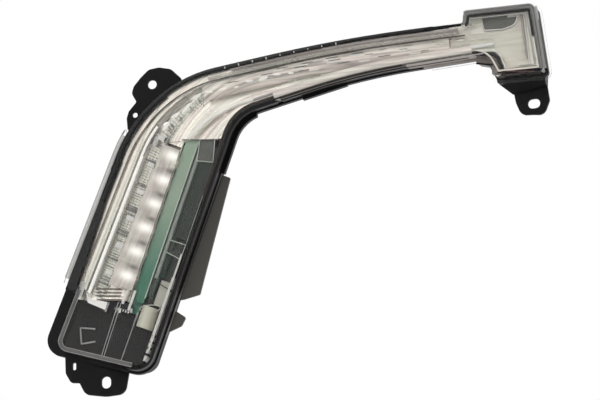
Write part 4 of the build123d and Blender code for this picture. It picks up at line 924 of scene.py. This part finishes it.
# One mark of painted highlight in each group.
rib_group("rib_white", 25.6, 8.6, 3.2, 5.6, "rib_light")
# A pale film over the cells, which carries their painted highlights and painted shade.
CELL_FILM_AREA = [*on_leg((29, 58), (29, 166)), *on_wall((30.2, 158), (30.2, 52))]
plate("cell_spot_film", CELL_FILM_AREA, 4.9, 5, "cell_film", "silver_coat")
ARM_SPOTS = [(13.6, -31.9), (31.3, -21), (43.1, -12.1), (60, -6.2), (76.9, -2.5), (95.2, 0.5), (134.6, 6.5)]
repeats("arm_spots", ARM_SPOTS, GROUP_PITCH, 5.2, 2.6, 5.2, 5.9, "spot_white", 0.4, True)

# %% [markdown]
# ## Light caught by the arm
# The curved wall of the arm's trough gathers the light in one broad arc that starts at the inner elbow, laid
# as a film of painted highlight. Two long films of painted streaky reflection lie on the trough and its lower
# wall, and short strokes of painted reflection, dark and white, and patches of painted highlight lie along
# them.

# %% Films, arc and strokes of the arm
ARC = [(30, -43), (45, -29), (64, -20), (86, -15), (112, -11.6)]
GLINTS = [(12, 120, 166), (13.4, 92, 118), (11, 172, 216), (15.5, 150, 196)]
FIELD = [(15.6, 40, 98), (15.2, 100, 158), (14.6, 162, 224)]
PATCHES = [(14, -34), (20, -26.5), (27, -24), (34, -14.5), (42.7, -10), (50, -10.4), (58.7, -7.6),
           (66, -7.4), (73, -3.7), (84, -2.8), (91, 0.4), (105.8, 1.2)]
STROKES = [(10.6, 96, 230, 17), (12.6, 60, 214, 23), (15.6, 84, 236, 29)]
glints = [part(top_path(inset), (low, high)) for inset, low, high in GLINTS]
field = [point for inset, low, high in FIELD for point in part(top_path(inset), (low, high))]
ARM_LIGHTS = [
    ("bright_arc", [rounded_path(ARC, [0, 40, 60, 90, 0])], 3.4, 4.6, 4.8, "arc_film"),
    ("arm_wall_line", [part(inner_path(5.4), (76, 236))], 1.6, 3.6, 3.8, "warm_film"),
    ("arm_glints", glints, 0.9, 4.4, 4.6, "arc_film"),
    ("arm_field", [field], 11.4, 4.05, 4.15, "field_film"),
    ("arm_field_low", [part(inner_path(3.4), (93, 239))], 5.8, 1.05, 1.15, "low_film"),
]
for row in ARM_LIGHTS:
    strips(*row, "silver_coat")
repeats("arm_patches", PATCHES, 9.5, 8.6, 2.6, 3.5, 3.7, "patch_highlight_film", 0.7, True)
# Strokes of painted reflection, dark and white, along the arm.
for number, (inset, low, high, pitch) in enumerate(STROKES):
    for kind, shift, stretch, along, across in (("dark", 0, 1, 9, 0.5), ("white", 1.2, 1.1, 8, 1.1)):
        run = part(top_path(inset + shift), (low, high))
        repeats(f"arm_{kind}_strokes_{number}", run, pitch * stretch, along, across, 3.7, 3.9,
                "stroke_" + kind, 0.8)

# %% [markdown]
# ## Bottom compartment and foot
# The lens has two thin ribs there, whose bright crests are added as painted highlights, and a pale line lies
# on the open square in the floor. Above the compartment the guide ends in a white wedge over dark bands, and
# a patch of painted highlight lies at the foot's corner.

# %% Crests, floor mark and foot
RIB_CRESTS = [(41, 43.8, 49), (43.2, 45.6, 49), (57.6, 58.8, 47)]
FOOT_LINES = [(20.6, 52.6, 38), (21.6, 50.2, 39), (22.6, 48, 40), (24, 45.6, 41)]
FOOT_SLOPE = math.tan(math.radians(19))
crests = [on_leg((high, top), (low, 9)) for high, low, top in RIB_CRESTS]
strips("rib_crests", crests, 0.4, 2.4, 2.9, "line_white", "clear_lens")
floor_mark = on_leg((28.8, 26), (18.2, 23), (23.2, 12.6), (32.4, 17.6))
strips("floor_mark", [floor_mark], 1.2, 17.2, 17.6, "mark_grey", "black_plastic")
foot_shelf = on_leg((7.6, 52), (10.6, 41.2), (18.4, 42.5), (30.5, 47.2), (42, 51), (46, 58))
plate("foot_shelf", foot_shelf, 9, 9.3, "silver_coat", "silver_coat")
foot_wedge = on_leg((14.5, 47.6), (18.4, 41.2), (32.7, 40.7), (32.3, 46.4), (21.5, 44.8))
plate("foot_wedge", foot_wedge, 8.2, 8.6, "stripe_white", "cream_plastic")
foot_corner = on_leg((8, 54), (10, 44), (13, 44), (12, 54))
plate("foot_corner", foot_corner, 6.4, 6.7, "rib_light", "clear_lens")
foot_lines = [on_leg((left, up), (right, up + (right - left) * FOOT_SLOPE)) for left, up, right in FOOT_LINES]
strips("foot_lines", foot_lines, 0.9, 7.6, 7.9, "stripe_brown", "silver_coat")
prongs = [on_leg((44, 60), (43.6, 49)), on_leg((49, 61), (49.6, 46))]
strips("foot_prongs", prongs, 1.9, 6, 6.4, "wedge_white", "clear_optic")

# %% [markdown]
# ## End box
# The end box has a dark window whose curved edge carries a painted highlight, and upright streaks of painted
# reflection, light and dark, at its far wall. Plates fill the gaps between the arm's reflector and the panel,
# and one film evens out the panel's face; a patch, a sheen and lines of painted highlight lie on it.

# %% Face, window and turn of the end box
BOX_FILL = [(228, 34), (240, 39.5), (252, 38), (252, 26), (262, 26), (262, 2),
            (252, 2), (244, 11), (228, 9.5)]
SHADE_CURVE = rounded_path([(270, 41.9), (267.5, 32.5), (259, 29.2), (245.5, 28.6), (243.5, 38.5)],
                           [0, 6, 12, 1.5, 0])
BOX_TURN = rounded_path([(232, 11.6), (254.5, 11.6), (259.5, -3)], [0, 7, 0])
BOX_TURN_LINE = rounded_path([(228, 14.4), (255.6, 14), (260.8, 1)], [0, 8, 0])
CORNER_WEB = [(239, 10.8), (253, 10.8), (257.4, 4), (258.2, -2), (250.2, -2), (250.2, 3.4),
              (241.6, 4.7), (239, 6.4)]
BOX_FACE = [(222, 12.6), (222, 31), (243.5, 33.5), (245.6, 28), (259, 28.6), (267, 32),
            (270.5, 40), (272.5, 40), (277, 3), (261.5, 1), (259.5, 7), (255.5, 13.2)]
ELBOW_FILL = [(2.5, -47), (8.3, -33.9), (16, -28), (27, -28), (27, -44.5)]
BOX_NECK = [(220, 12.2), (220, 31.4), (247, 34.6), (247, 12.8)]
BOX_PATCH = [(236.5, 29.4), (243.6, 30.6), (245.4, 27), (235.4, 26)]
BOX_PLATES = [
    ("elbow_fill", ELBOW_FILL, 12.6, 12.9, "silver_coat"),
    ("box_fill", BOX_FILL, 12.9, 13.2, "panel_silver"),
    ("box_shade", [(243.5, 38.5), *SHADE_CURVE[:-1]], 6, 6.3, "shade_grey"),
    ("box_neck", BOX_NECK, 9, 9.3, "silver_coat"),
    ("box_face", BOX_FACE, 6.5, 6.6, "face_film"),
    ("box_patch", BOX_PATCH, 6.4, 6.7, "arc_film"),
]
for row in BOX_PLATES:
    plate(*row, "silver_coat")
BOX_LINES = [
    ("box_shade_edge", [SHADE_CURVE[:-3]], 0.8, 5.5, 5.9, "rib_light"),
    ("box_streaks", [[(273.5, 40), (277.8, 4)], [(276.6, 41), (281.5, 3)]], 1.3, 5.4, 5.7, "arc_film"),
    ("box_dark_streaks", [[(272, 40), (276, 8)], [(279.3, 40), (283, 6)]], 1.4, 4.6, 4.9, "warm_film"),
    ("box_turn_lines", [BOX_TURN_LINE], 0.8, 4.6, 4.9, "arc_film"),
    ("box_sheen", [[(229, 15.6), (252, 18.6)]], 2.6, 5.6, 5.9, "rib_light"),
    ("box_low_line", [[(259, -1.2), (281.8, -1.6)]], 0.9, 4.2, 4.5, "red_line"),
]
for row in BOX_LINES:
    strips(*row, "silver_coat")
BOX_BORDER = part(lens_path(3.2), (232, FAR), (22, FAR))
strips("box_border", [BOX_BORDER], 1.5, 0.9, 1.1, "border_black", "black_plastic")
strips("box_turn", [BOX_TURN], 2.6, 4.6, 4.9, "border_black", "black_plastic")
plate("corner_web", CORNER_WEB, 10, 19.6, "web_brown", "black_plastic")
strips("corner_web_foot", [[(239, 5.6), (251, 4.2)]], 1.2, 9, 9.8, "border_black", "black_plastic")

# %% [markdown]
# ## Board, blocks and side strip
# The board's face lies under its clear rail, with lines along it. The side strip has teeth, the cream block
# a seam, and a pale ring marks the open end of the cream cylinder.

# %% Board, clips and blocks
SLEEVE_CENTRE = (1.8, -164.4)
SLEEVE_REACH = (7.6, 2.5)
CLIP_HIGH = [(38.6, -44.2), (49.6, -43.6), (48.2, -60.8), (36.2, -59.2)]
turns = [(math.cos(step * math.pi / 12), math.sin(step * math.pi / 12)) for step in range(24)]
sleeve_rim = [tuple(c + r * t for c, r, t in zip(SLEEVE_CENTRE, SLEEVE_REACH, turn)) for turn in turns]
strips("side_strip_face", [on_wall((3, 70), (3.4, 7))], 4.2, 6.2, 6.6, "pale_plastic", "cream_plastic")
repeats("side_strip_teeth", on_wall((2.8, 26), (3.4, 12)), 4.4, 1.8, 4, 5.4, 6.1, "border_black",
        0.3)
strips("sleeve_rim", [sleeve_rim], 0.6, 6.4, 6.8, "rim_cream", "cream_plastic", True)
repeats("plug_teeth", on_leg((43, 44), (51, 46.8)), 5.2, 1.5, 3.2, 9, 9.6, "wedge_white",
        0.3)
strips("block_seam", [on_wall((15.2, 63.2), (2.4, 60.8))], 0.6, 6.4, 6.7, "border_black", "black_plastic")
repeats("block_rivet", on_wall((2.4, 60.6), (2.4, 56.6)), 9, 1.8, 1.8, 6, 6.8, "border_black",
        0.0, True)
plate("board_face", on_wall((28.6, 46), (28.6, 166), (19.6, 170), (19.6, 46)), 8.2, 8.4, "board_face",
      "circuit_green")
plate("clip_high", CLIP_HIGH, 7, 7.4, "clip_film", "clear_optic")
plate("panel_dark", on_wall((14.4, 98), (14.4, 156), (3.4, 156), (3.4, 98)), 8.6, 8.9, "panel_black",
      "dark_aluminium")
plate("panel_shade", on_wall((14, 88), (21, 88), (20, 62), (15.5, 46), (14.2, 64)), 8.6, 8.9,
      "shade_green", "circuit_green")
BOARD_LINES = [on_wall((30, 62), (30, 166)), on_wall((19.6, 50), (19.6, 168))]
DARK_LINES = [on_wall((18.6, 62), (18.6, 166)), on_wall((14.8, 66), (14.8, 158))]
HIGH_EDGES = [[CLIP_HIGH[3], CLIP_HIGH[0]], CLIP_HIGH[1:]]
LOW_EDGES = [on_wall((15.5, 95), (3.4, 95), (3.4, 86)), on_wall((15.5, 86), (3.4, 84))]
BOARD_ROWS = [
    ("board_lines", BOARD_LINES, 0.8, 7.9, 8.1, "pale_line", "circuit_green"),
    ("board_dark_lines", DARK_LINES, 0.7, 7.8, 8.1, "shade_green", "circuit_green"),
    ("clip_high_edges", HIGH_EDGES, 0.6, 6.4, 6.8, "pale_line", "clear_optic"),
    ("clip_low_edges", LOW_EDGES, 0.6, 6.4, 6.8, "pale_line", "clear_optic"),
    ("board_pale_strip", [on_wall((16.4, 66), (16.4, 160))], 3.2, 8.3, 8.5, "board_mist", "circuit_green"),
    ("panel_edge", [on_wall((3.2, 158), (3.2, 86))], 0.5, 6.2, 6.5, "pale_line", "circuit_green"),
    ("pocket_edge", [[(25, -43.6), (53.4, -44.6)]], 0.8, 6.6, 6.9, "rim_line", "black_plastic"),
]
for row in BOARD_ROWS:
    strips(*row)

# %% [markdown]
# ## The lamp's size
# The lamp's size comes from the CAD.

# %% End of the scene
print("scene built")
